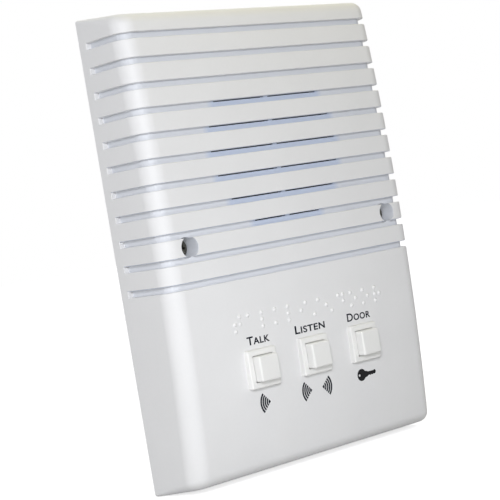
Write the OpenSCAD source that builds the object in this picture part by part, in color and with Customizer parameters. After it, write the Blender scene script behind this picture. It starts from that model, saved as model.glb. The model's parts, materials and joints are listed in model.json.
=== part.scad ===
// Wall-mounted room station of an intercom: a grooved moulded cover over a loudspeaker,
// three push-buttons on a circuit board, and a steel plate that is screwed to a wall box.
// Millimetres. +Z is up, the front faces -Y, and the wall is the plane y = 0.
// The origin is the centre of the wall-box screw holes on the back of the mounting plate.

/* [Cover] */
// Width of the cover
cover_w = 119.4; // [112:0.2:130]
// Height of the cover along its front
cover_h = 160.4; // [150:0.2:172]
// How much further its top and its bottom reach at the wall than at the front
draft = 2.2; // [1:0.1:3]
// Depth from the wall to the middle of the front face
cover_d = 26.8; // [26:0.2:30]
// How far the front face bows out from its ends to its middle
bow = 3.5; // [2:0.1:4]
// Thickness of the plain moulded wall
wall = 2.2; // [1.8:0.1:2.6]
// Radius of the upright front edges
edge_r = 6.5; // [5.5:0.5:8]
// Radius of the round-over along the top and bottom edges
end_r = 2; // [1.5:0.25:3]

/* [Grooves] */
// Number of grooves across the upper part
groove_count = 11; // [10:1:11]
// Distance from one groove to the next
groove_pitch = 8.535; // [8:0.005:9]
// Height of a groove
groove_w = 2.2; // [1.6:0.1:2.6]
// Depth of a groove
groove_depth = 2.1; // [1.5:0.1:2.4]
// Plastic left behind the floor of a groove
groove_floor = 1.8; // [1.6:0.1:2]
// Distance from the top of the cover to the first groove
groove_start = 6.3; // [5:0.1:7]
// Plain land between the end of a groove and the back edge
groove_land = 3.8; // [3:0.1:5]
// Height of the plain panel below the grooves
panel_h = 66.55; // [62:0.05:70]

/* [Sound slots] */
// Groove at the middle of the loudspeaker, counted from the top
slot_middle = 6; // [5:1:7]
// Number of slotted grooves above that one
slot_above = 2; // [1:1:3]
// Number of slotted grooves below it
slot_below = 3; // [1:1:3]
// Diameter of the slotted area
slot_area_d = 60; // [50:1:61]
// Height of a slot
slot_h = 0.4; // [0.3:0.1:1]
// Width of the web that splits each slot in two
slot_web = 2; // [1.5:0.1:3]

/* [Cover screws] */
// Distance from the side of the cover to a cover screw
screw_in = 11.5; // [10.6:0.05:13]
// Groove just above the screws, counted from the top
screw_groove = 9; // [8:1:10]
// Bore of the tube that the head sinks into
tube_bore = 7; // [6.8:0.1:7.6]
// Wall of the tube
tube_wall = 0.5; // [0.5:0.1:1]
// Depth of the head below the front face
head_sink = 4.5; // [3:0.1:6]
// Diameter of the head
head_d = 6.4; // [5.6:0.1:6.5]
// Height of the head
head_h = 2.2; // [1.6:0.1:2.6]
// Diameter of the thread
screw_d = 3.5; // [3:0.1:4]

/* [Buttons] */
// Distance between neighbouring buttons
button_pitch = 25.2; // [22:0.05:27]
// Height of the button row above the bottom of the cover
button_up = 35.3; // [33:0.1:38]
// Side of the square bezel
bezel_w = 13.4; // [12.8:0.1:15]
// Height of the bezel above the face
bezel_h = 2; // [1.6:0.05:2.8]
// Bevel around the front of the bezel
bezel_bevel = 0.6; // [0.3:0.1:0.9]
// Wall of the sleeve behind the bezel
sleeve_wall = 1.1; // [0.9:0.1:1.3]
// Length of the sleeve behind the cover's wall
sleeve_reach = 2; // [1.8:0.1:2.2]
// Side of the square button
cap_w = 8.4; // [7.8:0.1:8.8]
// Height of the button above the face
cap_rise = 5.1; // [4.8:0.1:6]
// Bevel around the front of the button
cap_bevel = 0.7; // [0.2:0.1:0.8]
// Thickness of the button's front
cap_roof = 1.8; // [1.4:0.1:2.2]
// Gap all round the button
cap_gap = 0.4; // [0.3:0.05:0.5]
// Thickness of the lip that keeps the button in
lip_t = 1; // [0.8:0.1:1.2]
// How far the button goes in
travel = 2.5; // [1.5:0.1:2.6]

/* [Braille] */
// Distance between the dots of a cell
dot_pitch = 2.38; // [2.3:0.01:2.5]
// Distance from one cell to the next
cell_pitch = 6.3; // [6.1:0.05:7]
// Diameter of a dot on the face
dot_d = 1.56; // [1.5:0.02:1.6]
// Height of a dot
dot_h = 0.6; // [0.5:0.05:0.7]
// Height of the top row of dots above the buttons' centres
braille_up = 18.7; // [17:0.1:20]
// Shift of each word to the right of its button
braille_shift = 1.25; // [0:0.05:3]

/* [Switches] */
// Side of a switch housing
switch_w = 12.7; // [12:0.1:14]
// Height of a switch housing
switch_h = 6.2; // [6:0.1:6.4]
// Wall of a switch housing
switch_wall = 1.2; // [1:0.1:1.4]
// Diameter of the plunger
plunger_d = 3; // [2.6:0.1:3.2]
// Gap between the plunger and its guide
plunger_gap = 0.35; // [0.3:0.05:0.45]
// Diameter of the contact carrier on the plunger
carrier_d = 7; // [6:0.1:8]
// Thickness of the contact carrier
carrier_t = 1; // [0.8:0.1:1.2]
// Wire of the return spring
spring_wire = 0.5; // [0.4:0.05:0.55]
// Mean diameter of the return spring
spring_d = 4.7; // [4.5:0.05:4.8]
// Turns of the return spring
spring_turns = 6; // [5:1:7]

/* [Circuit board] */
// Distance from the side of the cover to the board
board_in = 10.3; // [8.5:0.1:12]
// Height of the board
board_h = 54; // [50:1:54]
// Thickness of the board
board_t = 1.6; // [1.2:0.2:2]
// Clear space between the board and the wall
board_back = 9.5; // [9.3:0.1:9.8]
// Drop of the board's centre below the buttons' centres
board_drop = 2; // [0:0.5:2.5]
// Distance of the board's screws from its edges
board_screw_in = 4; // [3.6:0.1:5]
// Diameter of the posts that carry the board
post_d = 6; // [5.4:0.1:6.4]
// Thread of the self-tapping screws
tapper_d = 2.6; // [2.2:0.1:2.8]
// Head of the self-tapping screws
tapper_head_d = 5; // [4.4:0.1:5.2]
// Height of that head
tapper_head_h = 1.8; // [1.4:0.1:2]

/* [Terminals] */
// Number of wire terminals
terminal_count = 5; // [3:1:6]
// Distance between wire terminals
terminal_pitch = 6.6; // [6:0.1:7]
// Height of the terminal block up the board
terminal_h = 8; // [7:0.1:8.5]
// Depth of the terminal block
terminal_d = 8; // [7.4:0.1:8.2]
// Height of the block's centre above the buttons' centres
terminal_up = 13.5; // [13:0.5:14]

/* [Loudspeaker] */
// Outer diameter of the loudspeaker
speaker_d = 66; // [64:0.5:67]
// Width of the loudspeaker's rim
rim_w = 3; // [2.6:0.1:3.4]
// Sheet thickness of the basket
basket_t = 0.8; // [0.6:0.1:1]
// Thickness of the cloth behind the slots
cloth_t = 0.4; // [0.3:0.1:0.5]
// Thickness of the gasket
gasket_t = 1.1; // [0.8:0.1:1.3]
// Thickness of the paper cone
cone_t = 0.5; // [0.4:0.1:0.6]
// Depth of the basket behind its rim
basket_depth = 8.6; // [8.2:0.1:8.8]
// Diameter of the voice coil
coil_d = 14.6; // [13:0.1:15]
// Diameter of the magnet
magnet_d = 32; // [28:0.5:34]
// Thickness of the magnet
magnet_t = 4; // [3.6:0.1:4.2]
// Thickness of the front steel plate of the magnet
pole_plate_t = 1.8; // [1.5:0.1:2]
// Thickness of the back steel plate of the magnet
yoke_t = 1.6; // [1.4:0.1:1.8]
// How far outside the loudspeaker's rim its clip posts stand
clip_out = 5.6; // [5.2:0.1:7]

/* [Mounting plate] */
// Sheet thickness of the plate
plate_t = 1.2; // [1:0.1:1.5]
// Depth of the plate's top and bottom flanges
flange_d = 8; // [6:0.5:9]
// Gap between the plate and the cover
plate_gap = 0.4; // [0.3:0.05:0.8]
// Horizontal distance between the wall-box screw holes
box_x = 46; // [42:0.1:60]
// Vertical distance between the wall-box screw holes
box_z = 83.3; // [80:0.1:92]
// Diameter of the wall-box screw holes
box_hole_d = 4.2; // [4:0.1:4.5]
// Width of the cable opening
cable_w = 76; // [70:1:80]
// Height of the cable opening
cable_h = 72; // [70:1:74]
// Height of the nuts that take the cover screws
nut_h = 3; // [2.5:0.1:3.4]
// Diameter of those nuts
nut_d = 8; // [7:0.1:9]

/* [Speaker wires] */
// Diameter of an insulated wire
wire_d = 1.6; // [1.2:0.1:1.8]
// Distance between the two wires
wire_spacing = 7; // [5:0.1:8]
// Radius of the bends
wire_bend = 2.4; // [2.2:0.1:2.5]

/* [Hidden] */
$fn = 64;
// Facets in a full turn of the cover's upright edges, and of the long sweep along its bow
edge_fn = 64;
bow_fn = 1440;
// Small overlap that keeps cutters clear of the faces they cut
eps = 0.5;
// Smallest radius left on an inner corner
inner_r = 0.6;
// How far outside the cover its round-over along the top and bottom starts
end_over = 0.08;
// Height of the plain skirt below that round-over
end_skirt = 5;
// Clearance between pieces that slip together on assembly
slip = 0.15;
// Clearance round a screw that does not grip
screw_gap = 0.25;
// Clearance round a screw that grips, and between glued or pressed pieces
grip_gap = 0.05;

// Share by which the grooves and the plain panel stretch to fill the cover's height
stretch = cover_h / (groove_start + (groove_count - 1) * groove_pitch + groove_w + panel_h);

face_y = -cover_d;
front_inset = groove_depth + groove_floor;
top_z = cover_h / 2;
bow_r = (top_z * top_z + bow * bow) / (2 * bow);
// Place of the bowed front face at one height
function front_y(z) = face_y + bow_r - sqrt(bow_r * bow_r - z * z);
function groove_top(row) = top_z - stretch * (groove_start + (row - 1) * groove_pitch);
step_z = groove_top(groove_count) - groove_w - wall;
rim_depth = groove_land - wall + groove_floor / 4;

screw_x = cover_w / 2 - screw_in;
screw_z = (groove_top(screw_groove) - groove_w + groove_top(screw_groove + 1)) / 2;
nut_y = -plate_t - nut_h;
seat_y = face_y + head_sink + head_h;

button_names = ["talk", "listen", "door"];
button_z = -top_z + stretch * button_up;
function button_x(k) = (k - 1) * button_pitch;
hole_w = cap_w + 2 * cap_gap;
sleeve_w = hole_w + 2 * sleeve_wall;
hook_t = 0.7;
hook_w = 5;
button_face_y = front_y(button_z);
bezel_seat_y = front_y(button_z - bezel_w / 2);
plain_y = front_y(button_z - sleeve_w / 2 - hook_t) + wall;
sleeve_y = plain_y + sleeve_reach;
lip_over = 0.8;
lip_w = hole_w + 2 * lip_over;
cap_front_y = button_face_y - cap_rise;
cap_back_y = sleeve_y + lip_t;
socket_wall = 1;
socket_d = plunger_d + 2 * grip_gap;
boss_d = socket_d + 2 * socket_wall;
boss_len = 3.8;
boss_y = cap_front_y + cap_roof + boss_len;
spring_gap = 0.6;
cap_bore = spring_d + spring_wire + 2 * spring_gap;

board_w = cover_w - 2 * board_in;
board_y = -board_back;
board_front_y = board_y - board_t;
board_z = button_z - board_drop;
switch_y = board_front_y - switch_h;
carrier_gap = 0.2;
carrier_y = switch_y + switch_wall + carrier_gap;
solder_d = 1.9;
solder_top_d = 0.9;
solder_h = 0.9;
tail_d = 0.7;
tail_h = 1.6;
board_screw_grip = 6;

// Cells of the raised words, each a list of its dots: 1 to 3 down the left, 4 to 6 down the right
braille_words = [
    [[2, 3, 4, 5], [1], [1, 2, 3], [1, 3]],
    [[1, 2, 3], [2, 4], [3, 4], [2, 6]],
    [[1, 4, 5], [1, 3, 5], [1, 3, 5], [1, 2, 3, 5]]
];
dot_sphere_r = (dot_d * dot_d / 4 + dot_h * dot_h) / (2 * dot_h);

speaker_z = groove_top(slot_middle) - slot_h / 2;
speaker_r = speaker_d / 2;
clip_r = speaker_r + clip_out;
locating_r = speaker_r + screw_gap;
ring_r = locating_r + wall / 2;
inner_y = front_y(speaker_z + ring_r) + front_inset;
cloth_in = 0.5;
gasket_y = inner_y + cloth_t;
cone_y = gasket_y + gasket_t;
cone_rim_t = 0.3;
basket_y = cone_y + cone_rim_t;
clip_y = basket_y + basket_t;
basket_floor_y = basket_y + basket_depth;
basket_in_r = speaker_r - rim_w;
basket_floor_r = 17;
basket_window_w = 11;
basket_window_in = 1.2;
pole_hole_gap = 1;
pole_y = basket_floor_y + basket_t;
magnet_y = pole_y + pole_plate_t;
yoke_y = magnet_y + magnet_t;
pole_plate_in = 2;
magnet_hole_gap = 2.5;
yoke_in = 1.5;
coil_t = 0.3;
coil_gap = 0.45;
coil_end_gap = 0.2;
cone_neck_rise = 2.5;
cone_neck_y = basket_floor_y - cone_neck_rise;
cone_edge_in = 1.6;
dome_h = 3;
clip_t = 0.8;
clip_w = 7;
clip_over = 2;
clip_screw_gap = 0.6;

plate_w = cover_w - 2 * wall - 2 * plate_gap;
plate_h = cover_h - 2 * wall - 2 * plate_gap;
plate_corner = 3;
cable_corner = 4;

terminal_z = button_z + terminal_up;
terminal_w = (terminal_count + 0.4) * terminal_pitch;
well_d = 4.6;
well_depth = 2;
entry_d = 2.8;
clamp_h = 1.3;
clamp_slot_w = 0.7;
clamp_slot_depth = 0.7;

strip_w = 15;
strip_h = 4;
strip_t = 1;
tag_t = 0.4;
tag_w = 2;
tag_len = 5;
strip_gap = 0.2;
strip_z = speaker_z - basket_in_r - strip_gap - strip_h / 2;
wire_start_y = clip_y + strip_t + tag_len;
wire_run_y = board_y + wire_bend + wire_d / 2;
wire_end_up = 4;
wire_end_z = terminal_z + terminal_h / 2 + wire_end_up;

resistor_d = 2.3;
resistor_len = 6.4;
resistor_pitch = 5;
lead_d = 0.6;
lead_reach = 2.2;
capacitor_d = 8;
capacitor_h = 6.8;
bead_w = 0.5;
bead_depth = 0.35;
bench_up = 8;
bench_z = board_z - board_h / 2 + bench_up;
bench_x = 26;

// Rod along Y from y0 towards the wall
module rod(d, y0, y1, x = 0, z = 0) {
    translate([x, y1, z]) rotate([90, 0, 0]) cylinder(d = d, h = y1 - y0);
}

// Cone along Y, d0 at y0 and d1 at y1
module taper(d0, d1, y0, y1, x = 0, z = 0) {
    translate([x, y1, z]) rotate([90, 0, 0]) cylinder(d1 = d1, d2 = d0, h = y1 - y0);
}

// Block centred on x and z, from y0 towards the wall
module slab(w, h, y0, y1, x = 0, z = 0) {
    translate([x - w / 2, y0, z - h / 2]) cube([w, y1 - y0, h]);
}

// Square block whose front edges are bevelled at 45 degrees
module bevelled_block(w, y0, y1, bevel, x, z) {
    profile = [[-w / 2, y1], [-w / 2, y0 + bevel], [-w / 2 + bevel, y0],
               [w / 2 - bevel, y0], [w / 2, y0 + bevel], [w / 2, y1]];
    translate([x, 0, z]) intersection() {
        translate([0, 0, -w / 2]) linear_extrude(w) polygon(profile);
        rotate([0, 90, 0]) translate([0, 0, -w / 2]) linear_extrude(w) polygon(profile);
    }
}

// Sheet with round corners in the XZ plane, from y0 towards the wall
module rounded_sheet(w, h, r, y0, y1) {
    slab(w - 2 * r, h, y0, y1);
    slab(w, h - 2 * r, y0, y1);
    for (x = [-1, 1], z = [-1, 1])
        rod(2 * r, y0, y1, x * (w / 2 - r), z * (h / 2 - r));
}

// Plan of the cover, drawn in evenly at the front and sides, and run past the wall by extra
module plan(inset, extra = 0) {
    w = cover_w - 2 * inset;
    d = cover_d - inset;
    r = max(edge_r - inset, inner_r);
    translate([-w / 2 + r, -d]) square([w - 2 * r, d + extra]);
    translate([-w / 2, -d + r]) square([w, d - r + extra]);
    for (side = [-1, 1])
        translate([side * (w / 2 - r), -d + r]) circle(r, $fn = edge_fn);
}

// The same plan swept along the bow of the front face, between two heights
module bowed(inset, z0, z1, extra = 0) {
    axis_y = bow_r - cover_d;
    half_turn = asin((top_z + draft + 2 * eps) / (axis_y - eps));
    intersection() {
        translate([0, axis_y, 0]) rotate([-90, 0, 0]) rotate([0, 90, 0]) rotate([0, 0, -half_turn])
            rotate_extrude(angle = 2 * half_turn, $fn = bow_fn)
                translate([axis_y, 0]) rotate(90) plan(inset, eps);
        translate([-cover_w / 2 - eps, face_y - eps, z0])
            cube([cover_w + 2 * eps, cover_d + eps + extra, z1 - z0]);
    }
}

// Section of the rounded top edge: len deep, its outer corner round, run past the back by extra
module end_section(len, extra = 0) {
    translate([-extra, -end_skirt]) square([len - end_r + extra, end_r + end_skirt]);
    translate([-extra, -end_skirt]) square([len + extra, end_skirt]);
    translate([len - end_r, 0]) circle(end_r);
}

// Rounded top that the cover is cut to, rising to the wall and a little wider than the cover
module end_cap() {
    straight = cover_w / 2 + end_over - edge_r;
    tilt = atan(draft / -front_y(top_z));
    depth = end_r + (end_over - front_y(top_z - end_r) - end_r) / cos(tilt);
    translate([0, 0, top_z + draft - end_r / cos(tilt)]) rotate([tilt, 0, 0]) {
        translate([straight, 0, 0]) rotate([90, 0, -90])
            linear_extrude(2 * straight) end_section(depth, eps);
        for (side = [0, 1]) mirror([side, 0, 0]) translate([straight, 0, 0]) {
            translate([0, eps, 0]) rotate([90, 0, 0])
                linear_extrude(depth - edge_r + eps) end_section(edge_r);
            translate([0, -depth + edge_r, 0]) rotate([0, 0, -90])
                rotate_extrude(angle = 90) end_section(edge_r);
        }
    }
}

// Outside of the cover before its grooves are cut
module cover_body() {
    reach = top_z + draft + eps;
    intersection() {
        bowed(0, -reach, reach);
        union() {
            slab(cover_w + 2 * eps, cover_h - 2 * end_r, face_y - eps, eps);
            for (end = [0, 1]) mirror([0, 0, end]) end_cap();
        }
    }
}

// One groove round the front and sides
module groove(row) {
    z0 = groove_top(row) - groove_w;
    difference() {
        translate([-cover_w / 2 - eps, face_y - eps, z0])
            cube([cover_w + 2 * eps, cover_d + eps - groove_land, groove_w]);
        bowed(groove_depth, z0 - eps, z0 + groove_w + eps);
    }
}

// Hollow of the cover, thinner behind the plain lower panel and along the back edge
module cover_hollow() {
    inner_top = top_z - wall;
    bowed(front_inset, step_z, inner_top, eps);
    bowed(wall, -inner_top, step_z, eps);
    translate([0, 0, -inner_top]) linear_extrude(2 * inner_top) intersection() {
        plan(wall, eps);
        translate([-cover_w / 2, -rim_depth]) square([cover_w, rim_depth + eps]);
    }
}

// Two slots in the upper corner of one groove, as long as the round slotted area is there
module sound_slot(row) {
    z = groove_top(row) - slot_h / 2;
    half = sqrt(max(pow(slot_area_d / 2, 2) - pow(z - speaker_z, 2), 0));
    len = half - slot_web / 2;
    if (len > slot_web) for (side = [-1, 1])
        slab(len, slot_h, front_y(z) + groove_depth - eps, front_y(z) + front_inset + eps,
             side * (half - len / 2), z);
}

// Raised dots of one word
module braille(k) {
    word = braille_words[k];
    span = (len(word) - 1) * cell_pitch + dot_pitch;
    left = button_x(k) + braille_shift - span / 2;
    for (cell = [0:len(word) - 1], dot = word[cell]) {
        z = button_z + stretch * braille_up - ((dot - 1) % 3) * dot_pitch;
        translate([left + cell * cell_pitch + floor((dot - 1) / 3) * dot_pitch,
                   front_y(z) + dot_sphere_r - dot_h, z])
            sphere(dot_sphere_r);
    }
}

// Places of the board's four screws, each as [x, z]
board_posts = [for (x = [-1, 1], z = [-1, 1])
    [x * (board_w / 2 - board_screw_in), board_z + z * (board_h / 2 - board_screw_in)]];
// Places of the loudspeaker's four clip posts, each as [x, z]
clip_posts = [for (x = [-1, 1], z = [-1, 1])
    [x * clip_r * cos(45), speaker_z + z * clip_r * sin(45)]];

// Ring inside the cover: a flat seat for the loudspeaker's rim, and a wall round it
module speaker_seat() {
    difference() {
        intersection() {
            rod(2 * ring_r, face_y, basket_y, 0, speaker_z);
            bowed(groove_depth + groove_floor / 2, speaker_z - ring_r, speaker_z + ring_r);
        }
        rod(2 * locating_r, inner_y, basket_y + eps, 0, speaker_z);
        rod(2 * basket_in_r, face_y - eps, basket_y + eps, 0, speaker_z);
    }
}

module front_cover() {
    color("gainsboro") difference() {
        union() {
            difference() {
                cover_body();
                cover_hollow();
                for (row = [1:groove_count]) groove(row);
            }
            for (side = [-1, 1])
                rod(tube_bore + 2 * tube_wall, face_y, nut_y, side * screw_x, screw_z);
            for (p = board_posts)
                rod(post_d, front_y(p[1]) + wall / 2, board_front_y, p[0], p[1]);
            for (p = clip_posts)
                rod(post_d, front_y(p[1]) + front_inset - groove_floor / 2, clip_y, p[0], p[1]);
            speaker_seat();
            for (k = [0:2]) braille(k);
        }
        for (side = [-1, 1]) {
            rod(tube_bore, face_y - eps, seat_y, side * screw_x, screw_z);
            rod(screw_d + 2 * screw_gap, seat_y - eps, nut_y + eps, side * screw_x, screw_z);
        }
        for (p = board_posts)
            rod(tapper_d + 2 * grip_gap, front_y(p[1]) + wall, board_front_y + eps, p[0], p[1]);
        for (p = clip_posts) rod(tapper_d + 2 * grip_gap, inner_y, clip_y + eps, p[0], p[1]);
        for (row = [slot_middle - slot_above:slot_middle + slot_below]) sound_slot(row);
        for (k = [0:2]) {
            slab(sleeve_w + 2 * slip, sleeve_w + 2 * slip, face_y - eps, plain_y + eps,
                 button_x(k), button_z);
            slab(bezel_w + 2 * grip_gap, bezel_w + 2 * grip_gap, face_y - eps, bezel_seat_y,
                 button_x(k), button_z);
        }
    }
}

// Wedge that snaps behind the cover's wall, on the top side of a sleeve
module snap_hook(k) {
    z = button_z + sleeve_w / 2;
    translate([button_x(k) - hook_w / 2, 0, 0]) rotate([90, 0, 90]) linear_extrude(hook_w)
        polygon([[plain_y, z - sleeve_wall / 2], [plain_y, z + hook_t], [sleeve_y, z]]);
}

// Fixed square frame that a button slides in
module bezel(k) {
    x = button_x(k);
    color("ivory") difference() {
        union() {
            bevelled_block(bezel_w, button_face_y - bezel_h, bezel_seat_y, bezel_bevel, x, button_z);
            slab(sleeve_w, sleeve_w, button_face_y - bezel_h / 2, sleeve_y, x, button_z);
            snap_hook(k);
            translate([0, 0, 2 * button_z]) mirror([0, 0, 1]) snap_hook(k);
        }
        slab(hole_w, hole_w, button_face_y - bezel_h - eps, sleeve_y + eps, x, button_z);
    }
}
module talk_bezel() { bezel(0); }
module listen_bezel() { bezel(1); }
module door_bezel() { bezel(2); }

// Moving button, hollow behind, with a socket for its plunger and a lip that keeps it in
module button(k) {
    x = button_x(k);
    color("floralwhite") difference() {
        union() {
            difference() {
                union() {
                    bevelled_block(cap_w, cap_front_y, sleeve_y + lip_t / 2, cap_bevel, x, button_z);
                    slab(lip_w, lip_w, sleeve_y, cap_back_y, x, button_z);
                }
                rod(cap_bore, cap_front_y + cap_roof, cap_back_y + eps, x, button_z);
            }
            rod(boss_d, cap_front_y + cap_roof / 2, boss_y, x, button_z);
        }
        rod(socket_d, cap_front_y + cap_roof, boss_y + eps, x, button_z);
    }
}
module talk_button() { button(0); }
module listen_button() { button(1); }
module door_button() { button(2); }

// Rod pressed into a button, with the contact carrier at its inner end
module plunger(k) {
    color("dimgray") {
        rod(plunger_d, cap_front_y + cap_roof, carrier_y + carrier_t, button_x(k), button_z);
        rod(carrier_d, carrier_y, carrier_y + carrier_t, button_x(k), button_z);
    }
}
module talk_plunger() { plunger(0); }
module listen_plunger() { plunger(1); }
module door_plunger() { plunger(2); }

// Points and faces of a return spring: one round wire along a helix about Y
spring_steps = 8 * spring_turns;
spring_sides = 6;
spring_y0 = boss_y + spring_wire / 2;
spring_rise = switch_y - spring_wire - boss_y;
function spring_centre(s) = [
    spring_d / 2 * cos(45 * s), spring_y0 + spring_rise * s / spring_steps, spring_d / 2 * sin(45 * s)];
function spring_ring(s) = [for (j = [0:spring_sides - 1])
    let (a = 360 * j / spring_sides, out = spring_wire / 2 * cos(a))
    spring_centre(s) + [out * cos(45 * s), spring_wire / 2 * sin(a), out * sin(45 * s)]];
spring_points = [for (s = [0:spring_steps]) each spring_ring(s)];
spring_faces = concat(
    [for (s = [0:spring_steps - 1], j = [0:spring_sides - 1]) let (n = (j + 1) % spring_sides)
        each [[s * spring_sides + j, s * spring_sides + n, (s + 1) * spring_sides + j],
              [s * spring_sides + n, (s + 1) * spring_sides + n, (s + 1) * spring_sides + j]]],
    [for (j = [1:spring_sides - 2]) [0, j + 1, j]],
    [for (j = [1:spring_sides - 2]) let (b = spring_steps * spring_sides) [b, b + j, b + j + 1]]);
echo(least_gap_between_turns = min([for (s = [0:spring_steps - 8], t = [s + 6:s + 8])
    norm(spring_centre(t) - spring_centre(s))]) - spring_wire);

module return_spring(k) {
    color("silver") translate([button_x(k), 0, button_z])
        polyhedron(points = spring_points, faces = spring_faces);
}
module talk_spring() { return_spring(0); }
module listen_spring() { return_spring(1); }
module door_spring() { return_spring(2); }

// Housing of a push switch, open towards the board
module switch(k) {
    x = button_x(k);
    inner = switch_w - 2 * switch_wall;
    color("black") difference() {
        slab(switch_w, switch_w, switch_y, board_front_y, x, button_z);
        slab(inner, inner, switch_y + switch_wall, board_front_y + eps, x, button_z);
        rod(plunger_d + 2 * plunger_gap, switch_y - eps, switch_y + switch_wall + eps, x, button_z);
    }
}
module talk_switch() { switch(0); }
module listen_switch() { switch(1); }
module door_switch() { switch(2); }

module circuit_board() {
    color("darkgreen") difference() {
        slab(board_w, board_h, board_front_y, board_y, 0, board_z);
        for (p = board_posts)
            rod(tapper_d + 2 * screw_gap, board_front_y - eps, board_y + eps, p[0], p[1]);
    }
}

// Soldered tails of the switches on the back of the board
module solder_joints() {
    row = switch_w / 2 - switch_wall;
    color("silver") for (k = [0:2], column = [-1:1], side = [-1, 1]) {
        x = button_x(k) + column * switch_w / 3;
        z = button_z + side * row;
        taper(solder_d, solder_top_d, board_y, board_y + solder_h, x, z);
        rod(tail_d, board_y + solder_h / 2, board_y + tail_h, x, z);
    }
}

// Pan-head screw with a cross recess: its head starts at y0, its shank ends at y1
module cross_screw(d, head_w, head_t, y0, y1, x, z) {
    crown = head_t * 0.45;
    recess_w = head_w * 0.16;
    recess_len = head_w * 0.56;
    difference() {
        union() {
            translate([x, y0 + head_t, z]) rotate([90, 0, 0]) rotate_extrude() {
                square([head_w / 2, head_t - crown]);
                translate([0, head_t - crown]) square([head_w / 2 - crown, crown]);
                translate([head_w / 2 - crown, head_t - crown]) intersection() {
                    circle(crown);
                    square(crown);
                }
            }
            rod(d, y0 + head_t / 2, y1, x, z);
        }
        slab(recess_len, recess_w, y0 - eps, y0 + head_t * 0.6, x, z);
        slab(recess_w, recess_len, y0 - eps, y0 + head_t * 0.6, x, z);
    }
}

// The same screw driven from the back, with its head towards the wall
module back_screw(d, head_w, head_t, y0, y1, x, z) {
    translate([2 * x, 0, 0]) rotate([0, 0, 180]) cross_screw(d, head_w, head_t, -y1, -y0, x, z);
}

module board_screws() {
    color("silver") for (p = board_posts)
        back_screw(tapper_d, tapper_head_d, tapper_head_h, board_front_y - board_screw_grip,
                   board_y + tapper_head_h, p[0], p[1]);
}

function terminal_x(n) = (n - (terminal_count - 1) / 2) * terminal_pitch;

module terminal_block() {
    outer_y = board_y + terminal_d;
    color("seagreen") difference() {
        slab(terminal_w, terminal_h, board_y, outer_y, 0, terminal_z);
        for (n = [0:terminal_count - 1]) {
            rod(well_d, outer_y - well_depth, outer_y + eps, terminal_x(n), terminal_z);
            translate([terminal_x(n), board_y + terminal_d * 0.4, terminal_z])
                cylinder(d = entry_d, h = terminal_h);
        }
    }
}

// Slotted clamping screws in the wells of the terminal block
module terminal_screws() {
    y0 = board_y + terminal_d - well_depth;
    head = well_d - 2 * screw_gap;
    color("silver") for (n = [0:terminal_count - 1]) difference() {
        rod(head, y0, y0 + clamp_h, terminal_x(n), terminal_z);
        slab(clamp_slot_w, head + eps, y0 + clamp_h - clamp_slot_depth, y0 + clamp_h + eps,
             terminal_x(n), terminal_z);
    }
}

module capacitor() {
    groove_y = board_y + capacitor_h * 0.2;
    color("midnightblue") difference() {
        rod(capacitor_d, board_y, board_y + capacitor_h, bench_x, bench_z);
        difference() {
            rod(capacitor_d + eps, groove_y, groove_y + bead_w, bench_x, bench_z);
            rod(capacitor_d - 2 * bead_depth, groove_y - eps, groove_y + bead_w + eps, bench_x, bench_z);
        }
    }
}

function resistor_z(n) = bench_z + (n - 1) * resistor_pitch;
resistor_y = board_y + resistor_d / 2;

module resistors() {
    color("tan") for (n = [0:2]) {
        translate([-bench_x - resistor_len / 2, resistor_y, resistor_z(n)]) rotate([0, 90, 0]) {
            cylinder(d = resistor_d * 0.84, h = resistor_len);
            cylinder(d = resistor_d, h = resistor_len * 0.28);
            translate([0, 0, resistor_len * 0.72]) cylinder(d = resistor_d, h = resistor_len * 0.28);
        }
    }
}

// Bent wire ends of the resistors
module resistor_leads() {
    color("silver") for (n = [0:2], side = [0, 1])
        translate([-bench_x, 0, 0]) mirror([side, 0, 0]) {
            translate([resistor_len / 2, resistor_y, resistor_z(n)]) rotate([0, 90, 0])
                cylinder(d = lead_d, h = lead_reach);
            translate([resistor_len / 2 + lead_reach, resistor_y, resistor_z(n)]) sphere(d = lead_d);
            rod(lead_d, board_y, resistor_y, resistor_len / 2 + lead_reach, resistor_z(n));
        }
}

module dust_cloth() {
    color("black") rod(speaker_d - 2 * cloth_in, inner_y, gasket_y, 0, speaker_z);
}

module speaker_gasket() {
    color("dimgray") difference() {
        rod(speaker_d, gasket_y, cone_y, 0, speaker_z);
        rod(speaker_d - 2 * rim_w, gasket_y - eps, cone_y + eps, 0, speaker_z);
    }
}

// Turns a profile of radius and y about the loudspeaker's axis
module about_speaker() {
    translate([0, 0, speaker_z]) rotate([-90, 0, 0]) rotate_extrude() children();
}

// Pressed steel basket: rim, sloping wall with four windows, and floor
module speaker_basket() {
    hole_r = coil_d / 2 + coil_t + coil_gap + pole_hole_gap;
    window_y0 = clip_y + basket_window_in;
    window_y1 = basket_floor_y - basket_window_in;
    color("slategray") difference() {
        about_speaker() polygon([
            [speaker_r, basket_y], [speaker_r, clip_y], [basket_in_r, clip_y],
            [basket_floor_r, pole_y], [hole_r, pole_y], [hole_r, basket_floor_y],
            [basket_floor_r - basket_t / 2, basket_floor_y], [basket_in_r - basket_t, basket_y]]);
        for (side = [-1, 1])
            slab(basket_window_w, 2 * speaker_r, window_y0, window_y1, side * basket_window_w, speaker_z);
        slab(2 * speaker_r, basket_window_w, window_y0, window_y1, 0, speaker_z);
    }
}

// Paper cone with its flat rim
module speaker_cone() {
    neck_r = coil_d / 2 + coil_t;
    edge = basket_in_r - cone_edge_in;
    color("black") about_speaker() polygon([
        [speaker_r, cone_y], [speaker_r, basket_y], [edge, basket_y],
        [neck_r + cone_t, cone_neck_y], [neck_r, cone_neck_y], [neck_r, cone_neck_y - cone_t],
        [edge + cone_t, cone_y]]);
}

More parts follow.
